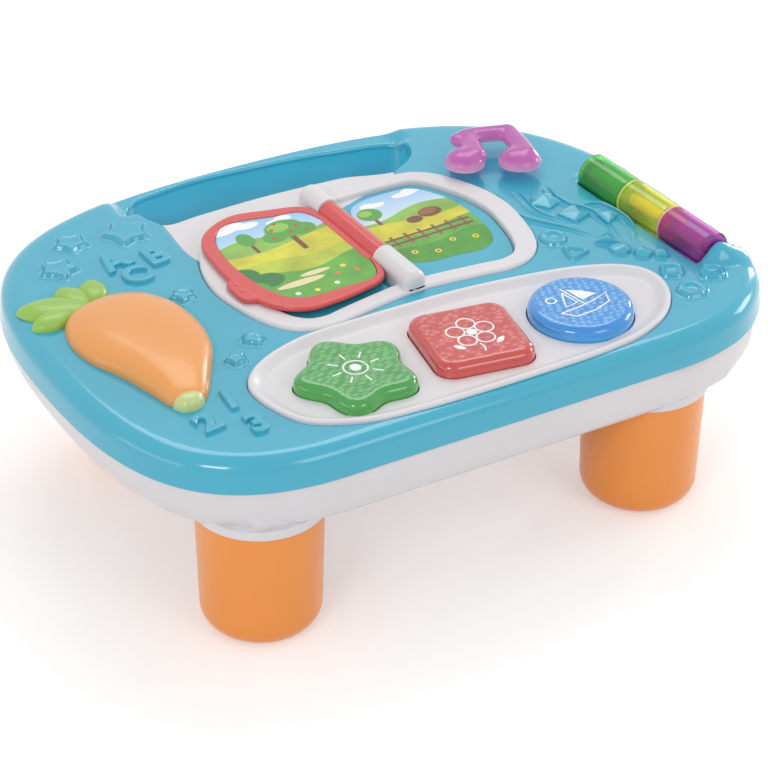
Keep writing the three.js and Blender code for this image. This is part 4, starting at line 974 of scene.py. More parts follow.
def buildPage():
    spec = page
    z, half, r, s = book["spine"], spec["thickness"] / 2, spec["round"], spec["windowRound"]
    outer, window = pageLoop(spec["outline"], 150), pageLoop(spec["window"], 150)
    bends = [0] + quarter(5)
    rings = [high(inset(outer, r * (1 - math.cos(a))), z - half + r * (1 - math.sin(a))) for a in reversed(bends)]
    rings += [high(inset(outer, r * (1 - math.cos(a))), z + half - r * (1 - math.sin(a))) for a in bends]
    rings += [high(inset(window, -s * (1 - math.sin(a))), z + half - s * (1 - math.cos(a)))
              for a in [0] + quarter(3)]
    pieces = [stackRings("pageRing", rings + [high(window, z - half)], top="bridge")]
    edge, centre = -spec["inner"] - spec["width"], spec["tabCentre"]
    low, top = z - half + 0.1, z + half - 0.15
    tabLoop = smoothLoop([(edge + x, centre + y * spec["tabSquash"]) for x, y in spec["tab"]], 60)
    pieces.append(plate("tab", tabLoop, roundLevels(low, top, 1.2, 4, 1.0)))
    end = spec["barrelLength"] / 2
    barrel = stackRings("barrel", ringsAlongY(circleLoop(spec["barrel"], 64), [
        (end, 0.8), (end - 0.25, 0.25), (end - 0.8, 0), (-end + 0.8, 0), (-end + 0.25, 0.25), (-end, 0.8)]))
    barrel.data.transform(Matrix.Translation((0, 0, z * mm)))
    pieces.append(barrel)
    arm = placed(roundedBox(spec["armHalf"], end - 0.2, 0.6, 3), spec["armPlace"], 0)
    pieces.append(plate("arm", arm, roundLevels(low, top, 0.4, 2)))
    for y in spec["bumps"]:
        loop = placed(circleLoop(spec["bumpRadius"], 20), edge + 0.4, centre + y)
        pieces.append(domed("bump", loop, z + half - 0.3, 0.9, 5))
    return turnedAt(joinPieces("pageFrame", pieces), book)


# A saddle over the barrel, round at its outer end
def buildSpineCap(key):
    r, base, round = spineCap["radius"], spineCap["low"] - book["spine"], spineCap["round"]
    start, end = spineCap["reach"][key]
    section = [Vector((-r + 2 * r * i / 8, base)) for i in range(8)]
    section += [Vector((r, base - base * i / 6)) for i in range(6)]
    section += [Vector((r * math.cos(i / 32 * math.pi), r * math.sin(i / 32 * math.pi))) for i in range(33)]
    section += [Vector((-r, -i / 6 * -base)) for i in range(1, 6)]
    way = 1 if end > start else -1
    steps = [(start, 0.7), (start + way * 0.2, 0.2), (start + way * 0.7, 0)]
    steps += [(end - way * round * (1 - math.sin(a)), round * (1 - math.cos(a))) for a in [0] + quarter(7)]
    rings = [[Vector((p.x, y, max(p.y, base) + book["spine"])) for p in inset(section, amount)]
             for y, amount in steps]
    return turnedAt(stackRings(key + "Cap", rings), book)


# A picture laid down in layers over the book's own millimetres
def picture(name, spec):
    finish = Finish(name)
    place = finish.node("ShaderNodeMapping", {"vector_type": "TEXTURE"}, {
        "Vector": finish.place(), "Location": (book["centre"][0] * mm, book["centre"][1] * mm, 0),
        "Rotation": (0, 0, book["turn"]), "Scale": (mm, mm, mm)})
    x, y, _ = finish.parts(place)
    patchy = finish.step(finish.noise(60, 3), 0.35, 0.7)
    colour = finish.blend(finish.step(y, 46, 0), *(colour4(c) for c in spec["sky"]))
    for kind, rgb, *sizes in spec["layers"]:
        if kind == "hill":
            low, swing, length, start = sizes
            line = (x / length + start).maths("SINE", 0) * swing + low
            mask = finish.step(y - line, 0.4, -0.4)
        elif kind == "spot":
            mask = finish.spot(x, y, *sizes)
        else:
            mask = finish.bar(x, y, *sizes)
        shade = tuple(c * 0.86 for c in rgb)
        varied = kind == "hill" or len(sizes) > 2
        tone = finish.blend(patchy, colour4(rgb), colour4(shade)) if varied else colour4(rgb)
        colour = finish.blend(mask, colour, tone)
    grain = finish.noise(700, 2)
    finish.feed(
        colour=colour, roughness=0.34 + grain * 0.08, normal=finish.bump(grain, 0.02, 0.0002), coat=0.15,
        coatRoughness=0.1)
    return finish.material


cloud, leafDark, leafMid, leafLight = (252, 252, 255), (44, 122, 52), (86, 164, 62), (150, 200, 84)
corn, meadow, bark, berry = (226, 220, 62), (104, 182, 62), (116, 70, 42), (196, 62, 46)
sand, wood = (238, 222, 176), (150, 96, 56)


def clouds(*ovals):
    return [("spot", cloud, oval[:2], oval[2:]) for oval in ovals]


def dots(radius, rgb, *places):
    return [("spot", rgb, place, (radius, radius)) for place in places]


# A hill has its height, swing, length and start; a spot and a bar their centre and reach
pictures = {
    "page": {"sky": ((140, 196, 242), (226, 240, 250)), "layers": [
        *clouds((-70, 40, 9, 3.6), (-62, 42.5, 9, 4.6), (-53, 39.6, 8, 3.4)),
        *clouds((-36, 35, 6, 2.6), (-30, 36.4, 6, 3.4)),
        ("hill", leafLight, 21, 4.5, 13, 0.4), ("hill", corn, 11, 3.5, 17, 2.0),
        ("bar", bark, (-35, 10), (1.8, 12)), ("spot", leafMid, (-35, 25), (13, 10.5)),
        ("spot", leafMid, (-45, 19), (8, 6.5)), ("spot", leafMid, (-25, 20), (8.5, 7)),
        ("spot", leafLight, (-38, 28), (7, 5)),
        *dots(1.4, berry, (-43, 27), (-33, 20), (-27, 25), (-38, 33), (-46, 18), (-23, 18)),
        ("bar", bark, (-62, 15), (1.2, 7)), ("spot", leafMid, (-62, 25), (5.5, 8)),
        ("hill", (196, 212, 66), -6, 3, 12, 1.0), ("hill", meadow, -20, 3.5, 10, 2.6),
        ("spot", sand, (-58, -34), (16, 3)), ("spot", sand, (-45, -28), (10, 2.2)),
        ("spot", leafDark, (-84, -12), (10, 9)), ("spot", leafDark, (-74, -22), (11, 8)),
        ("spot", leafMid, (-84, -28), (8, 7)),
        *dots(1.7, (240, 120, 60), (-34, -36), (-22, -38)), *dots(1.7, (250, 226, 80), (-27, -30), (-54, -46)),
        *dots(1.7, (250, 250, 250), (-66, -44), (-40, -45)),
    ]},
    "right": {"sky": ((140, 196, 242), (232, 243, 250)), "layers": [
        *clouds((56, 33, 9, 3), (62, 35, 7, 3.6), (33, 30, 7, 2.6), (28, 31.5, 5, 3)),
        ("hill", leafLight, 15, 4, 12, 3.0), ("bar", bark, (24, 12), (1.3, 8)),
        ("spot", leafMid, (24, 22), (8, 7.5)),
        ("spot", leafLight, (22, 24), (4.5, 3.6)), ("hill", corn, 5, 3.2, 15, 0.6),
        ("spot", bark, (58, 6.5), (8, 5.5)), ("spot", wood, (57, 8), (6, 3.6)),
        ("spot", bark, (45, 3), (5.5, 4)), ("hill", meadow, -10, 3, 14, 2.2),
        *[("bar", wood, (x, -14), (1.1, 6.5)) for x in range(20, 71, 10)],
        ("bar", bark, (45, -11.5), (30, 1)), ("bar", bark, (45, -17), (30, 1)),
        ("hill", (78, 160, 52), -24, 2, 9, 0.3),
        *dots(2.1, (250, 214, 60), (24, -30), (37, -36), (52, -29), (66, -33)),
        *dots(0.9, bark, (24, -30), (37, -36), (52, -29), (66, -33)),
    ]},
    "left": {"sky": ((150, 204, 244), (232, 243, 250)), "layers": [
        *dots(6, (252, 214, 84), (-28, 32)), *clouds((-58, 31, 8, 3), (-52, 33, 7, 3.6)),
        ("hill", leafLight, 16, 4, 14, 1.0), ("hill", meadow, 3, 3, 16, 2.4),
        ("spot", (110, 190, 226), (-48, -18), (22, 8)), ("spot", (160, 216, 238), (-52, -16), (12, 2.4)),
        ("bar", bark, (-70, 8), (1.2, 6)), ("spot", leafDark, (-70, 17), (5, 8)),
        ("hill", leafMid, -32, 2, 9, 0.0),
    ]},
}
dress(buildBookFrame(), softWhite, "table", "white_plastic", "book_frame")
dress(buildBookBase(), tableBlue, "table", "blue_plastic", "book_base")
for side, key in ((-1, "left"), (1, "right")):
    card = plate(key + "Card", cardLoop(side), roundLevels(book["cardLow"], book["cardTop"], 0.15, 2))
    dress(card, picture(key + "CardPrint", pictures[key]), "table", "printed_card", key + "_picture_card")
dress(buildPage(), pageRed, "page", "red_plastic", "page_frame")
pageTop = book["spine"] + page["thickness"] / 2
pageCard = turnedAt(plate("pageCard", inset(pageLoop(page["window"], 120), 0.3), roundLevels(
    pageTop - book["pageCardDepth"], pageTop - book["pageCardSunk"], 0.15, 2)), book)
dress(pageCard, picture("pagePrint", pictures["page"]), "page", "printed_card", "page_picture_card")
for key in spineCap["reach"]:
    dress(buildSpineCap(key), softWhite, "table", "white_plastic", key + "_spine_cap")
print("book built")


buttonShapes = {
    "star": {"centre": (-64.9, -101.7), "turn": math.radians(98), "radius": 32.5, "swing": 4},
    "square": {"centre": (11.5, -101.6), "turn": math.radians(-9), "side": 61, "corner": 11},
    "circle": {"centre": (84.5, -104.5), "radius": 31.3},
    "top": 137.5, "bottom": 124, "round": 5.6, "clearance": 0.5,
}


def starLoop(count=160):
    spec = buttonShapes["star"]
    points = []
    for i in range(count):
        a = i / count * math.tau
        radius = spec["radius"] + spec["swing"] * math.cos(5 * a)
        points.append((radius * math.cos(a), radius * math.sin(a)))
    return placed(evenly(points, count), *spec["centre"], spec["turn"])


def squareLoop():
    spec = buttonShapes["square"]
    points = roundedBox(spec["side"] / 2, spec["side"] / 2, spec["corner"], 12)
    return placed(evenly(points, 144), *spec["centre"], spec["turn"])


def circleButtonLoop():
    spec = buttonShapes["circle"]
    return placed(circleLoop(spec["radius"], 128), *spec["centre"])


buttonLoops = {"star": starLoop(), "square": squareLoop(), "circle": circleButtonLoop()}


def buildTray():
    spec = tray
    lip, floor, under, bottom = spec["lip"], spec["floor"], spec["under"], spec["bottom"]
    cove = smoothPath([Vector((lip - drop, side)) for drop, side in spec["cove"]], 3)
    levels = [(under, 6), (bottom, 5), (bottom, 0), (lip - spec["lipRound"], 0)]
    levels += bend(lip, spec["lipRound"], 5) + [tuple(p) for p in cove]
    rings = [high(softened(inset(trayOutline, side), int(side / 2)), z) for z, side in levels]
    pieces = [stackRings("dish", rings, low="open", top="open")]
    for loop in buttonLoops.values():
        hole = inset(loop, -buttonShapes["clearance"])
        rings = [high(inset(hole, -out), floor - down) for out, down in spec["holeEdge"]] + [high(hole, under)]
        pieces.append(stackRings("hole", rings, low="open", top="open"))
    piece = joinPieces("buttonTray", pieces)
    for level in (floor, under):
        fillAt(piece, level - 0.03, level + 0.03)
    return piece


# Coloured see-through plastic with a dashed pattern under its top, the dashes painted lighter as painted
# highlights, and its lower flank painted lighter as a painted glow
def lensPlastic(name, rgb, paintedLightTone, dark, cell, turn, order):
    finish = Finish(name)
    place = finish.node("ShaderNodeMapping", {}, {
        "Vector": finish.place(), "Rotation": (0, 0, turn), "Scale": (1 / cell[0], 1 / cell[1], 60)})
    cells = finish.node("ShaderNodeTexVoronoi", {"feature": "F1"}, {
        "Vector": place, "Scale": 1.0, "Randomness": order})
    dash = finish.step(cells, 0.5, 0.12)
    _, _, facing = finish.parts(finish.node("ShaderNodeNewGeometry", output="Normal"))
    onTop = finish.step(facing, 0.9, 1.0)
    pattern = dash * onTop
    _, _, height = finish.parts(finish.place())
    # The lower flank, painted lighter towards its foot: a painted glow
    low = finish.step(height, 0.1355, 0.1295) * (1 - onTop)
    patchy = finish.step(finish.noise(45, 3), 0.4, 0.7) * 0.6 * onTop
    body = finish.blend(patchy, colour4(rgb), colour4(dark))
    # The dashes are bumped as a real texture and painted lighter as painted highlights on it
    body = finish.blend(pattern * 0.75, body, colour4(paintedLightTone))
    finish.feed(
        colour=finish.blend(low * 0.55, body, colour4(paintedLightTone)), roughness=0.1,
        normal=finish.bump(pattern, 0.35, 0.0006), coat=0.9, coatRoughness=0.02,
        skin=0.2, skinRadius=(0.005, 0.005, 0.005), skinScale=1.0)
    return finish.material


# Each lens: its colour, a lighter tone painted on as highlights on the dashes and as glow low on the flank, a
# darker random tone, the dash cell, its turn and how orderly the dashes lie
buttonFinishes = {
    "star": ("green_translucent", lensPlastic(
        "greenLens", (50, 158, 58), (100, 192, 100), (34, 138, 44), (0.0062, 0.0024), 0.35, 0.55)),
    "square": ("red_translucent", lensPlastic(
        "redLens", (206, 62, 60), (228, 114, 108), (188, 48, 50), (0.005, 0.0028), -0.5, 0.8)),
    "circle": ("blue_translucent", lensPlastic(
        "blueLens", (22, 142, 222), (104, 198, 250), (10, 120, 210), (0.0046, 0.0032), 0.2, 0.45)),
}
whitePrint = mouldedPlastic("whitePrint", (250, 250, 250), (244, 244, 244), 0.4, 0.0)

# White line motifs, as paths and filled shapes from the middle of each button, in millimetres
motifs = {
    "star": {"turn": 0.1, "loops": [(0, 0, 7)], "fills": [("circle", 0, 0, 3.4)], "paths": [
        [(10 * math.cos(a), 10 * math.sin(a)), (16 * math.cos(a), 16 * math.sin(a))]
        for a in [i * math.tau / 8 for i in range(8)]]},
    "square": {
        "turn": -0.15, "fills": [("circle", 0, 0, 3.2), ("leaf", 12.5, -13, 0.7), ("leaf", -12.5, -13, 2.4)],
        "loops": [(0, 9.4, 5.4), (9, 2.9, 5.4), (5.6, -7.6, 5.4), (-5.6, -7.6, 5.4), (-9, 2.9, 5.4)],
        "paths": [[(0, -13), (1, -17), (0, -21)]]},
    "circle": {"turn": 0.2, "loops": [(-13, 12, 3)], "fills": [("sail", 0, 0, 0)], "paths": [
        [(-18, -2), (-13, -10), (0, -12), (13, -10), (18, -2), (6, -3.4), (-6, -3.4), (-18, -2)],
        [(0, -3.4), (0, 18)], [(-2.2, 14), (-7, 7.5), (-11, 1), (-2.2, 1), (-2.2, 14)]]},
}


# Lines drawn as flattened tubes
def drawLines(name, paths, radius, flat=0.35, taper=1):
    pieces = []
    for places in paths:
        last = len(places) - 1
        bpy.ops.object.select_all(action="DESELECT")
        bpy.ops.curve.primitive_nurbs_path_add()
        line = bpy.context.object
        line.data.splines.clear()
        spline = line.data.splines.new("POLY")
        spline.points.add(last)
        for i, (point, place) in enumerate(zip(spline.points, places)):
            point.co = (*(Vector(place) * mm), 1)
            point.radius = 1 + (taper - 1) * i / last
        line.data.bevel_depth = radius * mm
        line.data.bevel_resolution = 3
        line.data.use_fill_caps = True
        bpy.ops.object.convert(target="MESH")
        pieces.append(bpy.context.object)
    piece = joinPieces(name, pieces)
    low = sum(p[2] for p in paths[0]) / len(paths[0]) * mm
    for vertex in piece.data.vertices:
        vertex.co.z = low + (vertex.co.z - low) * flat
    return piece


def motifPaths(key, z):
    spec, centre = motifs[key], buttonShapes[key]["centre"]
    found = []
    for x, y, r in spec["loops"]:
        loop = placed(placed(circleLoop(r, 40), x, y), *centre, spec["turn"])
        found.append(high(loop + loop[:2], z))
    for path in spec["paths"]:
        line = [Vector(p) for p in path]
        if len(path) > 2 and path[0] != path[-1]:
            line = smoothPath(line, 6)
        found.append(high(placed(line, *centre, spec["turn"]), z))
    return found


def buildMotif(key):
    spec, top = motifs[key], buttonShapes["top"]
    fillLoops = {
        "circle": lambda size: circleLoop(size, 32),
        "leaf": lambda size: smoothLoop([(-4, 0), (0, -1.9), (4, 0), (0, 1.9)], 32),
        "sail": lambda size: list(reversed(evenly([(2, 15), (2, 1), (13, 1), (8, 9)], 60))),
    }
    pieces = [drawLines("lines", motifPaths(key, top + 0.02), 0.55, 0.3)]
    for kind, x, y, size in spec["fills"]:
        loop = placed(fillLoops[kind](size), x, y, size if kind == "leaf" else 0)
        loop = placed(loop, *buttonShapes[key]["centre"], spec["turn"])
        pieces.append(plate("fill", loop, [(top - 0.1, 0), (top + 0.12, 0), (top + 0.17, 0.1)]))
    return joinPieces(key + "Motif", pieces)


dress(buildTray(), softWhite, "table", "white_plastic", "button_tray")
buttonLevels = roundLevels(*(buttonShapes[key] for key in ("bottom", "top", "round")), 8)
for key, (slotName, material) in buttonFinishes.items():
    button = plate(key + "Button", buttonLoops[key], buttonLevels)
    dress(button, material, key + "_key", slotName, key + "_button")
    dress(buildMotif(key), whitePrint, key + "_key", None)
print("tray and buttons built")


def clearPlastic(name, rgb, tint, glass, low=None):
    finish = Finish(name)
    cloud = finish.noise(30, 2)
    colour = finish.blend(cloud, colour4(rgb), colour4(tint))
    if low:
        _, _, height = finish.parts(finish.place())
        colour = finish.blend(finish.step(height, low[1], low[2]), colour, colour4(low[0]))
    finish.feed(
        colour=colour, roughness=0.015 + cloud * 0.01, glass=glass, ior=1.06, coat=1.0, coatRoughness=0.02)
    return finish.material


# A hollow ring turned about the axle, from its profile of [radius, place along the axle]
def turnedRing(name, profile, middle):
    turns = [i / roller["points"] * math.tau for i in range(roller["points"])]
    rings = [[Vector((r * math.cos(a), y + middle, r * math.sin(a))) for a in turns] for r, y in profile]
    return turnedAt(stackRings(name, rings, top="bridge"), roller, roller["height"])


drumHalf = (roller["length"] - 2 * roller["gap"]) / 6
drumStep = 2 * drumHalf + roller["gap"]
# Each profile: the clear drum and the sleeve inside it from the drum's middle, the rest from its end
drumProfiles = {
    "Drum": [
        (2.85, -drumHalf), (11.2, -drumHalf), (11.75, 0.25 - drumHalf), (12, 0.8 - drumHalf),
        (12, drumHalf - 0.8), (11.75, drumHalf - 0.25), (11.2, drumHalf), (10.6, drumHalf),
        (10.2, drumHalf - 0.4), (10.2, 2 - drumHalf), (2.85, 2 - drumHalf)],
    "Sleeve": [(2.7, 2.2 - drumHalf), (3.9, 2.2 - drumHalf), (3.9, drumHalf - 2), (2.7, drumHalf - 2)],
    "Disc": [(2.7, -1.5), (9.6, -1.5), (10, -1.2), (10, -0.6), (9.6, -0.3), (2.7, -0.3)],
    "Rim": [(10.5, -0.9), (11.8, -0.9), (12.05, -0.6), (12.05, -0.1), (11.8, 0.2), (10.5, 0.2)],
}
drumFinishes = {
    "purple": {
        "Drum": clearPlastic("purpleClear", (226, 120, 214), (218, 110, 206), 0.88),
        "Sleeve": mouldedPlastic("purpleSleeve", (168, 52, 150), (156, 44, 140), 0.25, 0.3),
        "Disc": mouldedPlastic("orangeDisc", (255, 150, 60), (248, 142, 54), 0.3, 0.2),
        "Rim": mouldedPlastic("paleRim", (250, 214, 190), (244, 206, 182), 0.2, 0.5)},
    "yellow": {
        "Drum": clearPlastic("yellowClear", (252, 248, 90), (248, 242, 80), 0.86),
        "Sleeve": mouldedPlastic("yellowSleeve", (226, 206, 44), (216, 196, 38), 0.25, 0.3),
        "Disc": mouldedPlastic("greenDisc", (60, 190, 70), (54, 182, 64), 0.3, 0.2),
        "Rim": mouldedPlastic("limeRim", (216, 236, 110), (206, 228, 100), 0.2, 0.5)},
    "green": {
        "Drum": clearPlastic("greenClear", (120, 226, 112), (110, 220, 104), 0.8),
        "Sleeve": mouldedPlastic("greenSleeve", (54, 150, 60), (48, 140, 54), 0.25, 0.3)},
}
for i, (key, finishes) in enumerate(drumFinishes.items()):
    for kind, material in finishes.items():
        end = drumHalf if kind in ("Disc", "Rim") else 0
        ring = turnedRing(key + kind, drumProfiles[kind], (i - 1) * drumStep + end)
        stands = ["roller_drum_" + key] if kind == "Drum" else []
        dress(ring, material, "roller", key + "_translucent", *stands)
print("roller built")


island = {
    "centre": (125, 60.3), "turn": math.radians(-26.5), "half": (38, 33), "shift": 12, "top": 137,
    "shares": [
        (-0.98, -0.12), (-0.8, -0.78), (-0.45, -1), (-0.12, -0.82), (0.06, -0.68), (0.2, -0.82),
        (0.52, -1), (0.86, -0.76), (1, -0.1), (0.96, 0.55), (0.75, 0.95), (0.2, 1), (-0.35, 0.88),
        (-0.8, 0.62), (-0.97, 0.25)],
}


def buildIsland():
    spec = island
    loop = smoothLoop(scaled(spec["shares"], *spec["half"]), 130)
    loop = placed(placed(loop, 0, spec["shift"]), *spec["centre"], spec["turn"])
    levels = [(130.8, -3.2), (131.05, -2.6), (131.5, -1.7), (132.3, -0.9), (133.6, -0.4), (135.2, 0)]
    piece = plate("noteIsland", loop, levels + bend(spec["top"], 1.6, 5))
    carve(piece, plate("bookRoom", inBook(inset(frameLocal, -tableTop["clearance"])), [(128, 0), (140, 0)]))
    return piece


# Heads by their place and reach, and the stems and beam, each with its radius and how much it narrows
note = {
    "low": 1.3, "heads": [(-17.1, 13.1), (17.6, 14)], "head": (12.8, 9.2), "barHeight": 4.6, "flat": 0.74,
    "voxel": 0.8, "passes": 40,
    "bars": [
        ([(21, 2), (17.5, 17), (12.5, 32)], 8, 0.88),
        ([(-11, 2), (-12.5, 16), (-14, 27.5)], 8, 0.82),
        ([(12.5, 32), (-14, 27.5), (-19.5, 23)], 7, 0.86)],
}


def ball(place, scale, segments, rings):
    bpy.ops.object.select_all(action="DESELECT")
    bpy.ops.mesh.primitive_uv_sphere_add(
        segments=segments, ring_count=rings, radius=mm, location=Vector(place) * mm, scale=scale)
    bpy.ops.object.transform_apply(location=True, rotation=False, scale=True)
    return bpy.context.object


def buildNote():
    low = island["top"] + note["low"]
    deep, tall = note["head"]
    parts = [ball((x, 0, low + 1), (reach, deep, tall), 48, 24) for x, reach in note["heads"]]
    z, flat = low + note["barHeight"], note["flat"]
    for path, radius, taper in note["bars"]:
        parts.append(drawLines("bar", [[Vector((x, y, z)) for x, y in smoothPath(path, 4)]], radius, flat, taper))
        for end, share in ((path[0], 1), (path[-1], taper)):
            reach = radius * share
            parts.append(ball((*end, z), (reach, reach, reach * flat), 32, 16))
    piece = joinPieces("noteKey", parts)
    modify(piece, "REMESH", mode="VOXEL", voxel_size=note["voxel"] * mm)
    modify(piece, "SMOOTH", factor=0.5, iterations=note["passes"])
    for vertex in piece.data.vertices:
        vertex.co.z = max(vertex.co.z, low * mm)
    return turnedAt(piece, island)


pinkClear = clearPlastic("pinkClear", (222, 118, 200), (212, 104, 192), 0.4, ((246, 196, 226), 0.1445, 0.1385))
dress(buildNote(), pinkClear, "note", "pink_translucent", "note_key")
print("note built")


carrot = {
    "tip": (-159, -81), "length": 120, "halfWidth": 36.5, "height": 13.5, "low": 131,
    "shares": [
        (0, 0.24, 0.5), (0.05, 0.34, 0.66), (0.16, 0.46, 0.82), (0.3, 0.63, 0.95), (0.45, 0.84, 1),
        (0.6, 0.97, 1), (0.74, 1, 0.98), (0.86, 0.9, 0.86), (0.95, 0.66, 0.62), (1, 0.3, 0.3)],
    "bend": [(0, 0), (0.035, 0.2), (0.06, 0.45), (0.03, 0.7), (-0.015, 1)],
    "leaves": [
        (1.03, -0.2, 0.19, 0.1, 2.7), (1.08, -0.09, 0.12, 0.08, 1.8), (1.09, 0.02, 0.11, 0.075, 1.2),
        (0.95, -0.25, 0.12, 0.07, 3.3)],
    "leaf": [
        (-1, 0), (-0.75, -0.62), (-0.3, -0.96), (0.2, -1), (0.65, -0.72), (0.95, -0.3), (1.02, 0.06),
        (0.9, 0.42), (0.6, 0.8), (0.15, 1), (-0.35, 0.9), (-0.78, 0.55)],
    "leafRise": 6.5, "tipRise": 7.6, "tipTurn": 0.05,
    "tipOutline": [
        (-9.6, 1), (-6.4, -5.4), (0, -7.4), (6.4, -5.4), (9.6, 1), (5.6, 5.4), (0, 6.4), (-5.6, 5.4)],
    "grooves": [(0.2, 0.5), (0.36, -0.6), (0.52, 0.55), (0.66, -0.5)], "grooveDepth": 0.5,
}


def carrotAxis():
    (x, y), length = carrot["tip"], carrot["length"]
    return smoothPath([(x + dx * length, y + dy * length) for dx, dy in carrot["bend"]], 20)


def buildCarrot():
    spec = carrot
    axis = carrotAxis()
    profile = smoothPath([Vector(s) for s in spec["shares"]], 5)
    rings = []
    for share, width, height in (tuple(p) for p in profile):
        k = min(max(share, 0), 1) * (len(axis) - 1)
        i = min(int(k), len(axis) - 2)
        centre = axis[i].lerp(axis[i + 1], k - i)
        along = (axis[i + 1] - axis[i]).normalized()
        across = Vector((-along.y, along.x))
        ring = []
        for j in range(49):
            a = j / 48 * math.pi
            groove = 0.0
            for place, reach in spec["grooves"]:
                near = math.exp(-((share - place) / 0.012) ** 2)
                groove += spec["grooveDepth"] * near * ease(math.cos(a) * reach, 0.05, 0.3)
            x = spec["halfWidth"] * width * math.copysign(abs(math.cos(a)) ** 0.85, math.cos(a))
            z = (spec["height"] * height - groove) * math.sin(a) ** 0.8
            ring.append(Vector((centre.x + across.x * x, centre.y + across.y * x, spec["low"] - 0.2 + z)))
        rings.append(ring)
    return stackRings("carrotBody", rings)


def buildLeaves():
    spec = carrot
    length = spec["length"]
    pieces = []
    for along, across, long, wide, turn in spec["leaves"]:
        x, y = spec["tip"][0] + across * length, spec["tip"][1] + along * length
        loop = placed(smoothLoop(scaled(spec["leaf"], length * long, length * wide), 72), x, y, turn)
        pieces.append(domed("leaf", loop, spec["low"], spec["leafRise"], power=0.75))
    return joinPieces("carrotLeaves", pieces)


def buildTip():
    loop = placed(smoothLoop(carrot["tipOutline"], 60), *carrot["tip"], carrot["tipTurn"])
    return domed("carrotTip", loop, carrot["low"], carrot["tipRise"], power=0.7)


carrotOrange = mouldedPlastic("carrotOrange", (243, 168, 92), (236, 156, 80), 0.3, 0.2)
tipGreen = mouldedPlastic("tipGreen", (206, 218, 150), (196, 210, 138), 0.28, 0.3)
leafGreen = mouldedPlastic("leafGreen", (156, 200, 88), (144, 190, 76), 0.3, 0.2)
dress(buildCarrot(), carrotOrange, "table", "orange_plastic", "carrot_body", angle=60)
dress(buildLeaves(), leafGreen, "table", "leaf_plastic", "carrot_leaves", angle=60)
dress(buildTip(), tipGreen, "table", "leaf_plastic", "carrot_tip", angle=60)
print("carrot built")


# Marks moulded on the top: stars, pebbles with a hollow, letters, digits, crystals and sunk ribs
marks = {
    "letterSize": 24, "letterLevels": [(0, 0.02, 1.2, 0.4), (0.5, 0.8, 0.1, 1.2)],
    "starLevels": [
        (-0.1, 3.4, 1), (0.4, 2.4, 1), (0.6, 1.8, 1), (0.45, 1.3, 1), (0.05, 0.9, 1), (0.3, 0.6, 1), (1.4, 0.1, 1),
        (2.4, -0.6, 1), (2.9, -1.2, 1), (2.95, -1.5, 0.96), (2.7, -1.5, 0.84), (2.6, -1, 0.4), (2.7, -0.2, 0.03)],
    "pebbleLevels": [
        (-0.1, 2.4, 1), (0.35, 1.6, 1), (0.4, 1.2, 1), (0.05, 0.8, 1), (0.4, 0.5, 1), (1.4, 0, 1), (2.3, 0, 0.92),
        (2.6, 0, 0.86), (2.5, 0, 0.8), (2.1, 0, 0.68), (1.1, 0, 0.56), (0.6, 0, 0.44), (0.7, 0, 0.03)],
    "crystalLevels": [
        (-0.1, 1.8, 1), (0.35, 1.1, 1), (0.1, 0.6, 1), (0.5, 0.2, 1), (1.7, 0, 1), (2.5, 0, 0.86), (3.6, 0, 0.42),
        (4.1, 0, 0.22), (4.2, 0, 0.03)],
    "stars": [
        (-143.5, 109, 10, 0.3), (-109, 104.5, 14, 0.1), (-162.5, 85, 11, 0.5), (-111, 22.5, 7.5, 0.2),
        (-97, -39.5, 7, 0.6), (-115.7, -54, 6.5, 0.1)],
    "crystals": [
        (134.4, 13, 5, 10.5, 0.4, 1.1), (141.7, -9, 4, 10.5, 1.1, 5.2), (157.8, -22.7, 3, 8.5, 0.5, 0.3),
        (142.5, -44.5, 3, 8.5, 1.5, 4.4), (143.5, -57.7, 12, 6.5, 0.2, 5.5), (152.8, -68.5, 5, 6.5, 0.6, 2.2),
        (162.1, -74.4, 4, 5.5, 0.2, 5)],
    "pebbles": [
        (114.8, -27.4, 12, 7.5), (116.8, -48.6, 3, 8.5), (156, -94, 4, 8.5), (176.4, -107, 4, 9),
        (153.9, -117.6, 6, 8.5)],
    "letters": [
        ("A", -131, 75.5, 0.25), ("B", -105.5, 69.5, 0.05), ("C", -125, 56, 0),
        ("1", -138.5, -90, -0.1), ("2", -159.3, -104, 0.15), ("3", -135.3, -117.5, 0)],
    "ribs": [
        [(112.2, 36), (109.6, 23), (110.5, 7), (118.6, -7.8), (129.4, -21.5), (136.8, -34.6), (140.2, -46)],
        [(125.8, 33), (124.1, 22.9), (122.8, 8.1), (129.8, -8.5), (139.7, -22.4)],
        [(144.8, 28.7), (142.6, 15.5), (145.3, 3.2), (152, -8.2), (153.4, -21.6), (152.9, -34.6),
         (150, -45.5), (145.6, -55.8)],
        [(151.8, -1.7), (162.4, -6.3), (165.5, -15.7), (166.3, -28.8), (163.1, -40.2), (156.7, -51.8),
         (152, -56.7)]],
    "section": [
        (-4.6, -0.3), (-3.8, 0.25), (-3, 1.2), (-2.4, 1.6), (-1.9, 1.4), (-1.5, 0.6), (-1.2, -0.2), (1.2, -0.2),
        (1.5, 0.6), (1.9, 1.4), (2.4, 1.6), (3, 1.2), (3.8, 0.25), (4.6, -0.3), (0, -0.6)],
}


def polygonLoop(radius, sides, dip, count, passes):
    points = []
    total = sides * (2 if dip < 1 else 1)
    for i in range(total):
        a, r = math.pi / 2 + i / total * math.tau, radius * (dip if dip < 1 and i % 2 else 1)
        points.append((r * math.cos(a), r * math.sin(a)))
    return softened(evenly(points, count), passes)


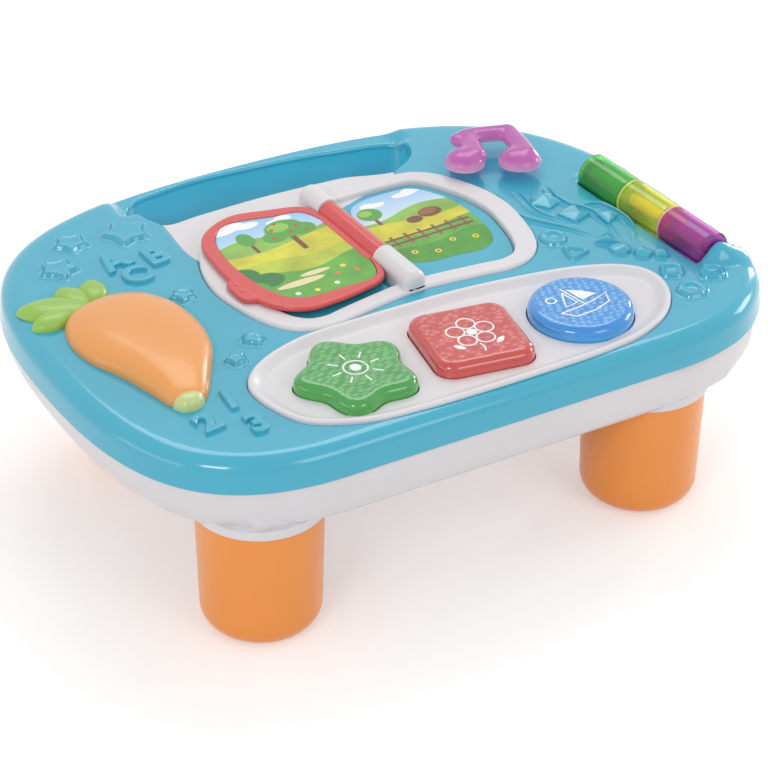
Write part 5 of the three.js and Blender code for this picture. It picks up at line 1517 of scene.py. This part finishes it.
def letterAt(letter, x, y, turn, low, extrude, offset, bevel):
    bpy.ops.object.select_all(action="DESELECT")
    bpy.ops.object.text_add()
    data = bpy.context.object.data
    data.body, data.size, data.align_x, data.align_y = letter, marks["letterSize"] * mm, "CENTER", "CENTER"
    data.extrude, data.offset, data.bevel_depth, data.bevel_resolution = extrude * mm, offset * mm, bevel * mm, 3
    bpy.ops.object.convert(target="MESH")
    piece = bpy.context.object
    height = (tableTop["top"] + low) * mm
    piece.data.transform(Matrix.Translation((x * mm, y * mm, height)) @ Matrix.Rotation(turn, 4, "Z"))
    return piece


# A letter on a low foot of the same shape
def buildLetter(letter, x, y, turn):
    return [letterAt(letter, x, y, turn, *level) for level in marks["letterLevels"]]


# Rings from a small fillet at the foot, given as [height above the top, outset, share of the loop]
def relief(name, loop, centre, levels):
    centre = Vector(centre)
    rings = []
    for z, out, share in levels:
        ring = inset(loop, -out)
        rings.append(high([centre + (p - centre) * share for p in ring], tableTop["top"] + z))
    return stackRings(name, rings)


# A rib with a sunk middle, flat at its far end and blunt at its near one
def buildRib(points):
    path = smoothPath(points, 8)
    rings = []
    for i, p in enumerate(path):
        along = (path[min(i + 1, len(path) - 1)] - path[max(i - 1, 0)]).normalized()
        across = Vector((-along.y, along.x))
        share = min(ease(i, -2, 3), ease(len(path) - 1 - i, -0.5, len(path) * 0.5))
        rings.append([
            Vector((p.x + across.x * u * (0.45 + 0.55 * share), p.y + across.y * u * (0.45 + 0.55 * share),
                    tableTop["top"] + (h * share if h > 0 else h)))
            for u, h in marks["section"]])
    return stackRings("rib", rings)


def buildMarks():
    spec = marks
    pieces = []
    for x, y, radius, turn in spec["stars"]:
        loop = placed(polygonLoop(radius * 1.1, 5, 0.6, 100, 7), x, y, turn)
        pieces.append(relief("star", loop, (x, y), spec["starLevels"]))
    for x, y, sides, radius, turn, lean in spec["crystals"]:
        loop = placed(polygonLoop(radius, sides, 0.72 if sides in (4, 5) else 1, 60, 4), x, y, turn)
        peak = (x + radius * 0.35 * math.cos(lean), y + radius * 0.35 * math.sin(lean))
        pieces.append(relief("crystal", loop, peak, spec["crystalLevels"]))
    for x, y, sides, radius in spec["pebbles"]:
        wide, passes = 1.25 if sides == 3 else 1.1, 30 if sides < 5 else 10
        loop = placed(polygonLoop(radius * wide, sides, 1, 72, passes), x, y, 0.3)
        pieces.append(relief("pebble", loop, (x, y), spec["pebbleLevels"]))
    for mark in spec["letters"]:
        pieces += buildLetter(*mark)
    pieces += [buildRib(line) for line in spec["ribs"]]
    return pieces


shell = buildTopShell()
shell = joinPieces("topShell", [shell, buildIsland(), *buildMarks()])
dress(shell, tableBlue, "table", "blue_plastic", "top_shell", angle=40)
print("top shell and its marks built")


# Finishes for the CAD nodes that stay: fasteners, boards, cells and the parts below
def metalFinish(name, rgb, shade, roughness):
    finish = Finish(name)
    brushed = finish.noise(1200, 3)
    finish.feed(
        colour=finish.blend(brushed, colour4(rgb), colour4(shade)), metal=1.0,
        roughness=roughness + brushed * 0.1, normal=finish.bump(brushed, 0.04, 0.0002))
    return finish.material


def boardFinish():
    finish = Finish("boardGreen")
    tracks = finish.node("ShaderNodeTexBrick", {}, {
        "Vector": finish.place(), "Scale": 220.0, "Mortar Size": 0.012})
    weave = finish.noise(1500, 2)
    drawn = finish.step(finish.parts(tracks)[0], 0.1, 0.4)
    finish.feed(
        colour=finish.blend(drawn, colour4((34, 96, 62)), colour4((28, 84, 54))),
        roughness=0.35 + weave * 0.1, normal=finish.bump(weave, 0.05, 0.0002), coat=0.3)
    return finish.material


kept = {
    metalFinish("brightSteel", (200, 200, 204), (186, 186, 190), 0.22): [
        "hinge_pin", "roller_axle", "left_battery_contact", "right_battery_contact"],
    metalFinish("screwSteel", (150, 152, 158), (134, 136, 142), 0.3): [
        *["housing_screw_%d" % i for i in range(1, 7)], "battery_door_screw"],
    mouldedPlastic("cellWrap", (196, 60, 52), (184, 52, 46), 0.3, 0.2): ["battery_1", "battery_2", "battery_3"],
    boardFinish(): ["button_circuit_board", "note_circuit_board"],
    mouldedPlastic("greyRubber", (122, 124, 128), (110, 112, 116), 0.6, 0.0): [
        "star_rubber_pad", "square_rubber_pad", "circle_rubber_pad", "note_left_rubber_pad",
        "note_right_rubber_pad"],
    mouldedPlastic("lampClear", (246, 244, 232), (238, 236, 222), 0.1, 0.6): [
        "star_light", "square_light", "circle_light"],
    darkPlastic: ["speaker", "power_switch_knob"],
    softWhite: ["battery_door"],
    mouldedPlastic("discPurple", (176, 70, 166), (166, 62, 156), 0.2, 0.4): ["roller_end_disc"],
}
for material, nodes in kept.items():
    for node in nodes:
        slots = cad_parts[node].data.materials
        slots.clear()
        slots.append(material)
print("CAD nodes finished")
